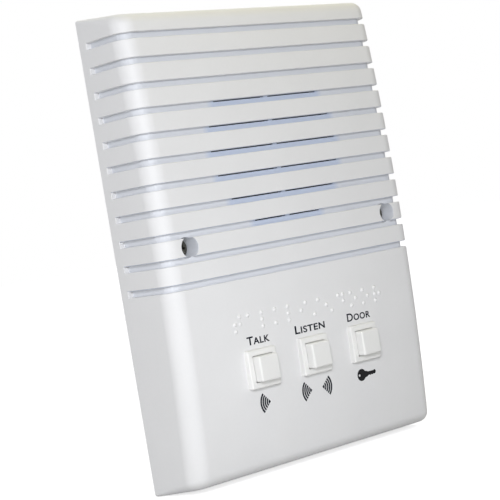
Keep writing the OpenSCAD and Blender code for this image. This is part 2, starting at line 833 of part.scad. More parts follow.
module dust_cap() {
    cap_base = coil_d / 2 + coil_t;
    dome_r = (cap_base * cap_base + dome_h * dome_h) / (2 * dome_h);
    color("darkslategray") intersection() {
        rod(2 * cap_base, cone_neck_y - cone_t - dome_h, cone_neck_y - cone_t, 0, speaker_z);
        translate([0, cone_neck_y - cone_t - dome_h + dome_r, speaker_z]) difference() {
            sphere(dome_r);
            sphere(dome_r - cone_t);
        }
    }
}

// Thin tube that carries the winding into the magnet's gap
module voice_coil() {
    color("peru") difference() {
        rod(coil_d + 2 * coil_t, cone_neck_y - cone_t, magnet_y - coil_end_gap, 0, speaker_z);
        rod(coil_d, cone_neck_y - cone_t - eps, magnet_y + eps, 0, speaker_z);
    }
}

module pole_plate() {
    color("silver") difference() {
        rod(magnet_d - 2 * pole_plate_in, pole_y, magnet_y, 0, speaker_z);
        rod(coil_d + 2 * (coil_t + coil_gap), pole_y - eps, magnet_y + eps, 0, speaker_z);
    }
}

module speaker_magnet() {
    color("darkslategray") difference() {
        rod(magnet_d, magnet_y, yoke_y, 0, speaker_z);
        rod(coil_d + 2 * magnet_hole_gap, magnet_y - eps, yoke_y + eps, 0, speaker_z);
    }
}

// Back plate with the pole that stands inside the voice coil
module speaker_yoke() {
    color("silver") {
        rod(magnet_d - 2 * yoke_in, yoke_y, yoke_y + yoke_t, 0, speaker_z);
        rod(coil_d - 2 * coil_gap, pole_y, yoke_y + yoke_t / 2, 0, speaker_z);
    }
}

module terminal_strip() {
    color("saddlebrown") slab(strip_w, strip_h, clip_y, clip_y + strip_t, 0, strip_z);
}

module speaker_tags() {
    color("gold") for (side = [-1, 1])
        slab(tag_w, tag_t, clip_y + strip_t, wire_start_y, side * wire_spacing / 2, strip_z);
}

// Flat clips that hold the loudspeaker's rim, pointing from each post to the centre
module speaker_clips() {
    reach = clip_r - (speaker_r - clip_over);
    color("silver") for (corner = [0:3])
        translate([0, 0, speaker_z]) rotate([0, 45 + 90 * corner, 0]) difference() {
            slab(reach + clip_w / 2, clip_w, clip_y, clip_y + clip_t, clip_r - (reach - clip_w / 2) / 2);
            rod(tapper_d + 2 * screw_gap, clip_y - eps, clip_y + clip_t + eps, clip_r);
        }
}

module clip_screws() {
    clip_top = clip_y + clip_t;
    color("silver") for (p = clip_posts)
        back_screw(tapper_d, tapper_head_d, tapper_head_h, inner_y + clip_screw_gap,
                   clip_top + tapper_head_h, p[0], p[1]);
}

// Two wires from the loudspeaker's tags, over the top of the board, to its back
module speaker_wires() {
    bend_y = wire_run_y - wire_bend;
    color("firebrick") for (side = [-1, 1]) translate([side * wire_spacing / 2, 0, 0]) {
        rod(wire_d, wire_start_y, bend_y, 0, strip_z);
        for (bend = [[strip_z - wire_bend, 90], [wire_end_z + wire_bend, 0]])
            translate([0, bend_y, bend[0]]) rotate([0, 90, 0]) rotate([0, 0, bend[1]])
                rotate_extrude(angle = 90) translate([wire_bend, 0]) circle(d = wire_d);
        translate([0, wire_run_y, wire_end_z + wire_bend])
            cylinder(d = wire_d, h = strip_z - wire_end_z - 2 * wire_bend);
        rod(wire_d, board_y, bend_y, 0, wire_end_z);
    }
}

module cover_screws() {
    color("gray") for (side = [-1, 1])
        cross_screw(screw_d, head_d, head_h, face_y + head_sink, -plate_t / 4,
                    side * screw_x, screw_z);
}

// Steel plate behind the cover, with a cable opening and wall-box screw holes
module mounting_plate() {
    flange_w = cover_w - 2 * front_inset - 2 * edge_r;
    color("silver") difference() {
        union() {
            rounded_sheet(plate_w, plate_h, plate_corner, -plate_t, 0);
            for (end = [-1, 1])
                slab(flange_w, plate_t, -flange_d, 0, 0, end * (plate_h - plate_t) / 2);
        }
        rounded_sheet(cable_w, cable_h, cable_corner, -plate_t - eps, eps);
        for (x = [-1, 1], z = [-1, 1])
            rod(box_hole_d, -plate_t - eps, eps, x * box_x / 2, z * box_z / 2);
        for (side = [-1, 1])
            rod(screw_d + 2 * screw_gap, -plate_t - eps, eps, side * screw_x, screw_z);
    }
}

module plate_nuts() {
    color("gold") for (side = [-1, 1]) difference() {
        rod(nut_d, nut_y, -plate_t, side * screw_x, screw_z);
        rod(screw_d + 2 * grip_gap, nut_y - eps, -plate_t + eps, side * screw_x, screw_z);
    }
}

front_cover();
talk_bezel();
listen_bezel();
door_bezel();
talk_button();
listen_button();
door_button();
talk_plunger();
listen_plunger();
door_plunger();
talk_spring();
listen_spring();
door_spring();
talk_switch();
listen_switch();
door_switch();
circuit_board();
solder_joints();
board_screws();
terminal_block();
terminal_screws();
capacitor();
resistors();
resistor_leads();
dust_cloth();
speaker_gasket();
speaker_basket();
speaker_cone();
dust_cap();
voice_coil();
pole_plate();
speaker_magnet();
speaker_yoke();
terminal_strip();
speaker_tags();
speaker_clips();
clip_screws();
speaker_wires();
cover_screws();
mounting_plate();
plate_nuts();
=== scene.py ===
"""Looks of a wall-mounted intercom room station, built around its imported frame.

Sizes are in millimetres in the station's own frame: +Z is up, the front faces -Y and the
wall is the plane y = 0. Meshes are written in metres.
"""

from __future__ import annotations

import json
import logging
import math
from collections.abc import Iterable, Sequence
from dataclasses import dataclass, field
from enum import Enum
from typing import TypeVar

import bmesh
import bpy
from bmesh.types import BMEdge, BMesh, BMFace, BMVert
from bpy.types import ID, Material, Mesh, Node, NodeSocket, NodeTree, Object
from mathutils import Matrix, Vector

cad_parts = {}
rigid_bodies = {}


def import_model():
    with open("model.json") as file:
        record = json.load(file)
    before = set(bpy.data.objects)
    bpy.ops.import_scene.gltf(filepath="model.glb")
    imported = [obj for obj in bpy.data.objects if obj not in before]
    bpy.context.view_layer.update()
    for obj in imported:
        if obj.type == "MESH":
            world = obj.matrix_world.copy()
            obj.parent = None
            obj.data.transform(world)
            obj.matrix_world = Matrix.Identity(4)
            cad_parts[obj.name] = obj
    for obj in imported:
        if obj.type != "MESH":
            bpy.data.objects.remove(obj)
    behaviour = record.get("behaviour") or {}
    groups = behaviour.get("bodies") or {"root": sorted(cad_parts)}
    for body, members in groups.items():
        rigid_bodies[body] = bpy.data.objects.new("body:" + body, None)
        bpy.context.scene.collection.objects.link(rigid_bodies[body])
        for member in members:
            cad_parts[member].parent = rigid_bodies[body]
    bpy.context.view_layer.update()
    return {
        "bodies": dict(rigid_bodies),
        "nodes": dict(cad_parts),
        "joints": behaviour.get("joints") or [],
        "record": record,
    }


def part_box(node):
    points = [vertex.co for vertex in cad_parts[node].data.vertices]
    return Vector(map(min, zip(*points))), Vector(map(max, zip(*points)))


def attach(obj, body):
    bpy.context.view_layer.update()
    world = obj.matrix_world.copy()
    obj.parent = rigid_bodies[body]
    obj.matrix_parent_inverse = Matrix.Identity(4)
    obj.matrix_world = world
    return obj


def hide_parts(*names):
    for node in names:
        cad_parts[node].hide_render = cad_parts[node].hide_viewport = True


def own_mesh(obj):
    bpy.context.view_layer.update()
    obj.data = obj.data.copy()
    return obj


LOG = logging.getLogger("room_station")
MM = 0.001
NEAR = 0.001 * MM
STATION = "station"
# Name of the mesh mask that paints shade on the cover: groove floors, slat undersides and screw bores.
PAINTED_SHADE = "recess"

Point = tuple[float, float, float]
Colour = tuple[float, float, float]
Flat = tuple[float, float]
Part = TypeVar("Part")


def linear(red: float, green: float, blue: float) -> Colour:
    """Turns a colour of 0 to 255 steps into linear light.

    Args:
        red: Red step.
        green: Green step.
        blue: Blue step.

    Returns:
        The colour in linear light, each channel from 0 to 1.
    """
    def channel(step: float) -> float:
        """One channel in linear light."""
        share = step / 255.0
        return share / 12.92 if share <= 0.04045 else ((share + 0.055) / 1.055) ** 2.4

    return channel(red), channel(green), channel(blue)


def metres(x: float, y: float, z: float) -> Vector:
    """A point in millimetres as a vector in metres."""
    return Vector((x * MM, y * MM, z * MM))


def linked(name: str, data: ID) -> Object:
    """Makes an object of some data and links it to the scene."""
    item = bpy.data.objects.new(name, data)
    bpy.context.scene.collection.objects.link(item)
    return item


def node_box(node: str) -> tuple[Point, Point]:
    """Lowest and highest corner of a CAD node, in millimetres."""
    low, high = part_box(node)
    return tuple(value / MM for value in low), tuple(value / MM for value in high)


def only(parts: Iterable[object], kind: type[Part]) -> list[Part]:
    """The parts of one kind, in their order."""
    return [part for part in parts if isinstance(part, kind)]


def in_plane(part: BMEdge | BMFace, axis: int, place: float) -> bool:
    """Whether an edge or a face lies in a plane across an axis: 0 for X, 1 for Y, 2 for Z."""
    return all(abs(vertex.co[axis] - place * MM) < NEAR for vertex in part.verts)


class Key(Enum):
    """The three push-buttons, from left to right."""

    TALK = "talk"
    LISTEN = "listen"
    DOOR = "door"

    @property
    def place(self) -> int:
        """Place in the row, counted from the middle button."""
        return list(Key).index(self) - 1


class Grain(Enum):
    """Kinds of fine relief that a finish may carry."""

    MOULDED = "moulded"
    BRUSHED = "brushed"
    WOVEN = "woven"
    PRESSED = "pressed"


class Effects:
    """Shader node groups that several finishes share."""

    def __init__(self) -> None:
        """Builds every group once."""
        self.drift = self._drift()
        self.sheen = self._sheen()
        self.recess = self._recess()
        self.grains = {
            Grain.MOULDED: self._moulded(),
            Grain.BRUSHED: self._brushed(),
            Grain.WOVEN: self._woven(),
            Grain.PRESSED: self._pressed(),
        }

    @staticmethod
    def _group(
        name: str, inputs: Sequence[tuple[str, str, object]], outputs: Sequence[tuple[str, str]]
    ) -> tuple[NodeTree, Node, Node]:
        """Starts a node group with named sockets.

        Args:
            name: Name of the group.
            inputs: Name, socket type and default of each input.
            outputs: Name and socket type of each output.

        Returns:
            The group, its input node and its output node.
        """
        tree = bpy.data.node_groups.new(name, "ShaderNodeTree")
        for label, kind, default in inputs:
            socket = tree.interface.new_socket(label, in_out="INPUT", socket_type=kind)
            if default is not None:
                socket.default_value = default
        for label, kind in outputs:
            tree.interface.new_socket(label, in_out="OUTPUT", socket_type=kind)
        return tree, tree.nodes.new("NodeGroupInput"), tree.nodes.new("NodeGroupOutput")

    @staticmethod
    def _noise(tree: NodeTree, vector: NodeSocket, scale: NodeSocket, detail: float) -> NodeSocket:
        """Adds a noise texture and gives its value socket.

        Args:
            tree: Group to add to.
            vector: Coordinates that it reads.
            scale: Socket that sets its scale.
            detail: Number of octaves.

        Returns:
            The noise value.
        """
        noise = tree.nodes.new("ShaderNodeTexNoise")
        noise.inputs["Detail"].default_value = detail
        tree.links.new(vector, noise.inputs["Vector"])
        tree.links.new(scale, noise.inputs["Scale"])
        return noise.outputs["Fac"]

    @staticmethod
    def _math(tree: NodeTree, operation: str, first: object, second: object) -> NodeSocket:
        """Adds a math node whose two inputs are sockets or numbers.

        Args:
            tree: Group to add to.
            operation: Name of the operation.
            first: First socket or number.
            second: Second socket or number.

        Returns:
            The result.
        """
        node = tree.nodes.new("ShaderNodeMath")
        node.operation = operation
        for socket, value in zip(node.inputs, (first, second)):
            if isinstance(value, NodeSocket):
                tree.links.new(value, socket)
            else:
                socket.default_value = value
        return node.outputs[0]

    @staticmethod
    def _blend(tree: NodeTree, share: NodeSocket, first: NodeSocket, second: NodeSocket) -> NodeSocket:
        """Adds a mix of two colours.

        Args:
            tree: Group to add to.
            share: Share of the second colour.
            first: First colour.
            second: Second colour.

        Returns:
            The mixed colour.
        """
        mix = tree.nodes.new("ShaderNodeMix")
        mix.data_type = "RGBA"
        for place, socket in ((0, share), (6, first), (7, second)):
            tree.links.new(socket, mix.inputs[place])
        return mix.outputs[2]

    def _grain(self, name: str, scale: float) -> tuple[NodeTree, NodeSocket, NodeSocket, NodeSocket]:
        """Starts a group that puts out the height of a relief.

        Args:
            name: Name of the group.
            scale: Default scale of the relief.

        Returns:
            The group, its coordinates, its scale, and the socket that takes the height.
        """
        tree, source, sink = self._group(
            name, [("Vector", "NodeSocketVector", None), ("Scale", "NodeSocketFloat", scale)],
            [("Height", "NodeSocketFloat")])
        return tree, source.outputs["Vector"], source.outputs["Scale"], sink.inputs["Height"]

    def _drift(self) -> NodeTree:
        """Builds the slow change between two tones.

        Returns:
            The group.
        """
        tree, source, sink = self._group(
            "Tone drift",
            [("Vector", "NodeSocketVector", None), ("Tone", "NodeSocketColor", None),
             ("Far tone", "NodeSocketColor", None), ("Scale", "NodeSocketFloat", 40.0),
             ("Fine scale", "NodeSocketFloat", 900.0), ("Fine share", "NodeSocketFloat", 0.25)],
            [("Colour", "NodeSocketColor")])
        slow = self._noise(tree, source.outputs["Vector"], source.outputs["Scale"], 3.0)
        fine = self._noise(tree, source.outputs["Vector"], source.outputs["Fine scale"], 2.0)
        blend = tree.nodes.new("ShaderNodeMix")
        tree.links.new(source.outputs["Fine share"], blend.inputs["Factor"])
        tree.links.new(slow, blend.inputs["A"])
        tree.links.new(fine, blend.inputs["B"])
        spread = tree.nodes.new("ShaderNodeMapRange")
        spread.inputs["From Min"].default_value = 0.3
        spread.inputs["From Max"].default_value = 0.7
        tree.links.new(blend.outputs["Result"], spread.inputs["Value"])
        colour = self._blend(tree, spread.outputs["Result"], source.outputs["Tone"],
                             source.outputs["Far tone"])
        tree.links.new(colour, sink.inputs["Colour"])
        return tree

    def _sheen(self) -> NodeTree:
        """Roughness that wanders about a level."""
        tree, source, sink = self._group(
            "Sheen drift",
            [("Vector", "NodeSocketVector", None), ("Level", "NodeSocketFloat", 0.4),
             ("Spread", "NodeSocketFloat", 0.1), ("Scale", "NodeSocketFloat", 120.0)],
            [("Roughness", "NodeSocketFloat")])
        noise = self._noise(tree, source.outputs["Vector"], source.outputs["Scale"], 4.0)
        offset = self._math(tree, "SUBTRACT", noise, 0.5)
        scaled = self._math(tree, "MULTIPLY", offset, source.outputs["Spread"])
        level = self._math(tree, "ADD", scaled, source.outputs["Level"])
        tree.links.new(level, sink.inputs["Roughness"])
        return tree

    def _recess(self) -> NodeTree:
        """Painted shade: a shade tone mixed in where a mask says that a surface lies in shade."""
        tree, source, sink = self._group(
            "Painted shade tone",
            [("Mask", "NodeSocketFloat", 0.0), ("Colour", "NodeSocketColor", None),
             ("Painted shade tone", "NodeSocketColor", None)],
            [("Colour", "NodeSocketColor")])
        colour = self._blend(tree, source.outputs["Mask"], source.outputs["Colour"],
                             source.outputs["Painted shade tone"])
        tree.links.new(colour, sink.inputs["Colour"])
        return tree

    def _moulded(self) -> NodeTree:
        """Spark-eroded mould texture: fine pits over a slow waviness."""
        tree, place, scale, height = self._grain("Moulded grain", 2500.0)
        pits = self._noise(tree, place, scale, 2.0)
        slow_scale = self._math(tree, "MULTIPLY", scale, 0.03)
        slow = self._noise(tree, place, slow_scale, 1.0)
        tree.links.new(self._math(tree, "ADD", pits, slow), height)
        return tree

    def _brushed(self) -> NodeTree:
        """Long fine rolling lines, as on plated sheet."""
        tree, place, scale, height = self._grain("Brushed grain", 1500.0)
        stretch = tree.nodes.new("ShaderNodeMapping")
        stretch.inputs["Scale"].default_value = (1.0, 1.0, 0.04)
        tree.links.new(place, stretch.inputs["Vector"])
        tree.links.new(self._noise(tree, stretch.outputs["Vector"], scale, 3.0), height)
        return tree

    def _woven(self) -> NodeTree:
        """Plain weave seen in the XZ plane: two sets of threads that cross."""
        tree, place, scale, height = self._grain("Woven grain", 1200.0)
        threads = []
        for direction in ("X", "Z"):
            wave = tree.nodes.new("ShaderNodeTexWave")
            wave.bands_direction = direction
            wave.inputs["Distortion"].default_value = 0.6
            wave.inputs["Detail"].default_value = 1.0
            tree.links.new(place, wave.inputs["Vector"])
            tree.links.new(scale, wave.inputs["Scale"])
            threads.append(wave.outputs["Fac"])
        tree.links.new(self._math(tree, "MAXIMUM", *threads), height)
        return tree

    def _pressed(self) -> NodeTree:
        """Matted fibres, as in pressed paper and board."""
        tree, place, scale, height = self._grain("Pressed grain", 900.0)
        cells = tree.nodes.new("ShaderNodeTexVoronoi")
        cells.feature = "F2"
        tree.links.new(place, cells.inputs["Vector"])
        tree.links.new(scale, cells.inputs["Scale"])
        fibres = self._noise(tree, place, scale, 5.0)
        tree.links.new(self._math(tree, "MULTIPLY", cells.outputs["Distance"], fibres), height)
        return tree


@dataclass(frozen=True)
class Finish:
    """A surface: two tones that drift into each other, a sheen, a fine grain, and, if it has a shade tone,
    painted shade where a mask asks for it.
    """

    name: str
    tone: Colour
    far_tone: Colour
    roughness: float
    sheen_spread: float = 0.08
    metallic: float = 0.0
    coat: float = 0.0
    coat_roughness: float = 0.12
    ior: float = 1.5
    grain: Grain = Grain.MOULDED
    grain_scale: float = 2500.0
    grain_depth: float = 0.004
    drift_scale: float = 40.0
    fine_share: float = 0.25
    # Painted shade tone for surfaces that the mesh's mask marks as shaded.
    recess_tone: Colour | None = None

    def material(self, effects: Effects) -> Material:
        """Builds the finish's node material.

        Args:
            effects: The shared node groups.

        Returns:
            The material.
        """
        material = bpy.data.materials.new(self.name)
        material.use_nodes = True
        tree = material.node_tree
        shader = tree.nodes["Principled BSDF"]
        shader.inputs["Metallic"].default_value = self.metallic
        shader.inputs["Coat Weight"].default_value = self.coat
        shader.inputs["Coat Roughness"].default_value = self.coat_roughness
        shader.inputs["IOR"].default_value = self.ior
        place = tree.nodes.new("ShaderNodeTexCoord").outputs["Object"]
        self._tones(tree, effects, place, shader)
        sheen = self._placed(tree, effects.sheen, place)
        sheen.inputs["Level"].default_value = self.roughness
        sheen.inputs["Spread"].default_value = self.sheen_spread
        tree.links.new(sheen.outputs["Roughness"], shader.inputs["Roughness"])
        grain = self._placed(tree, effects.grains[self.grain], place)
        grain.inputs["Scale"].default_value = self.grain_scale
        bump = tree.nodes.new("ShaderNodeBump")
        bump.inputs["Distance"].default_value = self.grain_depth * MM
        tree.links.new(grain.outputs["Height"], bump.inputs["Height"])
        tree.links.new(bump.outputs["Normal"], shader.inputs["Normal"])
        return material

    def _tones(self, tree: NodeTree, effects: Effects, place: NodeSocket, shader: Node) -> None:
        """Leads the drifting tones, with painted shade mixed in where the mesh's mask asks for it, to the
        shader.

        Args:
            tree: The material's nodes.
            effects: The shared node groups.
            place: Coordinates that the groups read.
            shader: The shader that takes the colour.
        """
        drift = self._placed(tree, effects.drift, place)
        drift.inputs["Tone"].default_value = (*self.tone, 1.0)
        drift.inputs["Far tone"].default_value = (*self.far_tone, 1.0)
        drift.inputs["Scale"].default_value = self.drift_scale
        drift.inputs["Fine share"].default_value = self.fine_share
        colour = drift.outputs["Colour"]
        # Painted shade: the shade tone over the drifting tones, by the mesh's mask.
        if self.recess_tone:
            mask = tree.nodes.new("ShaderNodeAttribute")
            mask.attribute_name = PAINTED_SHADE
            recess = tree.nodes.new("ShaderNodeGroup")
            recess.node_tree = effects.recess
            recess.inputs["Painted shade tone"].default_value = (*self.recess_tone, 1.0)
            tree.links.new(mask.outputs["Fac"], recess.inputs["Mask"])
            tree.links.new(colour, recess.inputs["Colour"])
            colour = recess.outputs["Colour"]
        tree.links.new(colour, shader.inputs["Base Color"])

    @staticmethod
    def _placed(tree: NodeTree, group: NodeTree, place: NodeSocket) -> Node:
        """Places a group in a material and gives it its coordinates.

        Args:
            tree: The material's nodes.
            group: The group to place.
            place: Coordinates that it reads.

        Returns:
            The group's node.
        """
        node = tree.nodes.new("ShaderNodeGroup")
        node.node_tree = group
        tree.links.new(place, node.inputs["Vector"])
        return node


class Finishes:
    """Every finish of the station, each built once."""

    LIST = (
        # Painted shade: the cover's pale blue shade tone, mixed in on groove floors, slat undersides and
        # screw bores.
        Finish("cover_plastic", linear(231, 231, 232), linear(227, 227, 228), 0.52,
               grain_scale=2600.0, grain_depth=0.003, recess_tone=linear(198, 208, 227)),
        Finish("button_plastic", linear(235, 235, 233), linear(231, 231, 230), 0.42,
               grain_scale=3000.0, grain_depth=0.002),
        Finish("legend_ink", linear(24, 27, 40), linear(18, 20, 31), 0.55, ior=1.2, grain_depth=0.002),
        Finish("mark_ink", linear(13, 13, 16), linear(19, 19, 23), 0.5, ior=1.2, grain_depth=0.002),
        Finish("plunger_plastic", linear(92, 92, 90), linear(80, 80, 79), 0.45),
        Finish("switch_plastic", linear(30, 30, 31), linear(38, 38, 39), 0.5),
        Finish("spring_steel", linear(190, 188, 182), linear(160, 158, 152), 0.25, metallic=1.0,
               grain=Grain.BRUSHED, grain_depth=0.001),
        Finish("board_laminate", linear(24, 84, 52), linear(19, 70, 45), 0.3, coat=0.4,
               grain=Grain.WOVEN, grain_scale=900.0, grain_depth=0.003),
        Finish("solder", linear(196, 197, 199), linear(150, 151, 155), 0.28, metallic=1.0,
               grain=Grain.PRESSED, grain_depth=0.01),
        Finish("zinc_steel", linear(186, 188, 190), linear(160, 163, 168), 0.34, metallic=1.0,
               grain=Grain.BRUSHED, grain_depth=0.002),
        Finish("terminal_plastic", linear(38, 122, 84), linear(32, 106, 74), 0.4),
        Finish("capacitor_sleeve", linear(28, 34, 62), linear(22, 27, 50), 0.28, coat=0.3),
        Finish("resistor_body", linear(206, 180, 140), linear(190, 162, 122), 0.4, coat=0.3),
        Finish("black_cloth", linear(22, 22, 23), linear(32, 32, 33), 0.85, grain=Grain.WOVEN,
               grain_scale=1500.0, grain_depth=0.08),
        Finish("gasket_board", linear(86, 80, 74), linear(70, 65, 60), 0.9, grain=Grain.PRESSED,
               grain_depth=0.05),
        Finish("basket_steel", linear(120, 124, 130), linear(100, 104, 110), 0.4, metallic=0.9,
               grain=Grain.BRUSHED),
        Finish("cone_paper", linear(38, 37, 36), linear(52, 50, 48), 0.85, grain=Grain.PRESSED,
               grain_depth=0.06),
        Finish("coil_copper", linear(196, 120, 70), linear(150, 84, 48), 0.3, metallic=1.0,
               grain=Grain.BRUSHED),
        Finish("ferrite", linear(54, 55, 58), linear(42, 43, 46), 0.6, grain=Grain.PRESSED,
               grain_depth=0.03),
        Finish("strip_laminate", linear(146, 98, 58), linear(122, 80, 46), 0.55, grain=Grain.PRESSED,
               grain_depth=0.02),
        Finish("tinned_brass", linear(214, 200, 160), linear(190, 176, 140), 0.3, metallic=1.0,
               grain=Grain.BRUSHED),
        Finish("wire_insulation", linear(150, 32, 30), linear(132, 26, 26), 0.38),
        Finish("wire_red", linear(160, 34, 31), linear(138, 27, 26), 0.38),
        Finish("wire_black", linear(30, 30, 31), linear(38, 38, 39), 0.38),
        Finish("board_track", linear(34, 104, 62), linear(29, 92, 56), 0.28, coat=0.4),
        Finish("band_brown", linear(96, 52, 26), linear(84, 45, 23), 0.4),
        Finish("band_gold", linear(176, 134, 52), linear(156, 116, 42), 0.35, metallic=0.6),
        Finish("screw_steel", linear(112, 110, 100), linear(84, 83, 76), 0.34, metallic=1.0,
               grain=Grain.BRUSHED, grain_depth=0.004),
        Finish("plate_steel", linear(186, 189, 192), linear(158, 163, 168), 0.36, metallic=1.0,
               grain=Grain.BRUSHED, grain_scale=900.0, grain_depth=0.004),
    )

    def __init__(self) -> None:
        """Builds the shared groups and then the materials."""
        effects = Effects()
        self._made = {finish.name: finish.material(effects) for finish in self.LIST}

    def __getitem__(self, name: str) -> Material:
        """The material of a named finish."""
        return self._made[name]


class Bench:
    """Turns finished meshes into pieces of the station."""

    SMOOTH_ANGLE = math.radians(38.0)
    FLAT_ANGLE = math.radians(0.5)
    MERGE = 0.0005 * MM

    def __init__(self, finishes: Finishes, frame: dict) -> None:
        """Keeps the finishes that pieces are dressed in and the CAD nodes."""
        self.finishes = finishes
        self.nodes = frame["nodes"]

    def mesh_of(self, name: str, shape: BMesh) -> Mesh:
        """Writes a shape to a mesh, merged and with its faces outwards.

        Args:
            name: Name of the mesh.
            shape: The shape, which is freed.

        Returns:
            The mesh.
        """
        bmesh.ops.remove_doubles(shape, verts=shape.verts[:], dist=self.MERGE)
        bmesh.ops.recalc_face_normals(shape, faces=shape.faces[:])
        mesh = bpy.data.meshes.new(name)
        shape.to_mesh(mesh)
        shape.free()
        return mesh

    def cut(self, name: str, mesh: Mesh, steps: Sequence[tuple[str, Mesh]]) -> Mesh:
        """Joins meshes to a closed mesh or takes them from it.

        Args:
            name: Name of the result.
            mesh: The closed mesh to start from.
            steps: Boolean operation and closed mesh of each step.

        Returns:
            The resulting mesh.
        """
        base = linked(name, mesh)
        tools = []
        for operation, tool_mesh in steps:
            tool = linked(f"{name}_tool", tool_mesh)
            tools.append(tool)
            modifier = base.modifiers.new(operation, "BOOLEAN")
            modifier.operation = operation
            modifier.solver = "EXACT"
            modifier.object = tool
        graph = bpy.context.evaluated_depsgraph_get()
        result = bpy.data.meshes.new_from_object(base.evaluated_get(graph))
        for spare in (base, *tools):
            bpy.data.objects.remove(spare)
        result.name = name
        return result

    def piece(
        self, name: str, shape: BMesh | Mesh, finish: str, body: str = STATION,
        stands_for: Sequence[str] = (), slot: str | None = None, weighted: bool = True
    ) -> Object:
        """Dresses a shape and makes it ride on a body.

        Args:
            name: Name of the piece.
            shape: Its shape, which is freed, or its finished mesh, in place.
            finish: Name of its finish.
            body: CAD body that it rides on.
            stands_for: CAD nodes that it replaces.
            slot: Material slot of the record, or None; not used.
            weighted: Whether flat faces keep flat shading beside rounded edges.

        Returns:
            The piece.
        """
        mesh = self.mesh_of(name, shape) if isinstance(shape, BMesh) else shape
        piece = linked(name, mesh)
        mesh.materials.clear()
        mesh.materials.append(self.finishes[finish])
        mesh.polygons.foreach_set("use_smooth", [True] * len(mesh.polygons))
        mesh.set_sharp_from_angle(angle=self.SMOOTH_ANGLE)
        if weighted:
            normals = piece.modifiers.new("flat faces", "WEIGHTED_NORMAL")
            normals.keep_sharp = True
        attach(piece, body)
        if stands_for:
            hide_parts(*stands_for)
        LOG.info("%s: %d faces on %s", name, len(mesh.polygons), body)
        return piece

    def softened(self, node: str, finish: str, width: float, body: str = STATION) -> None:
        """Makes a piece of a CAD node's own shape, with its sharp edges broken.

        Args:
            node: The CAD node, which the piece replaces.
            finish: Name of the finish, which is also the material slot.
            width: Width of the broken edges.
            body: CAD body that it rides on.
        """
        shape = bmesh.new()
        shape.from_mesh(self.nodes[node].data)
        bmesh.ops.remove_doubles(shape, verts=shape.verts[:], dist=self.MERGE)
        bmesh.ops.dissolve_limit(shape, angle_limit=self.FLAT_ANGLE, verts=shape.verts[:],
                                 edges=shape.edges[:])
        sharp = [edge for edge in shape.edges
                 if edge.is_manifold and edge.calc_face_angle() > self.SMOOTH_ANGLE]
        bmesh.ops.bevel(shape, geom=sharp, offset=width * MM, offset_type="OFFSET", segments=2,
                        profile=0.5, affect="EDGES", clamp_overlap=True, material=-1)
        self.piece(f"{node}_shape", shape, finish, body, stands_for=[node], slot=finish)


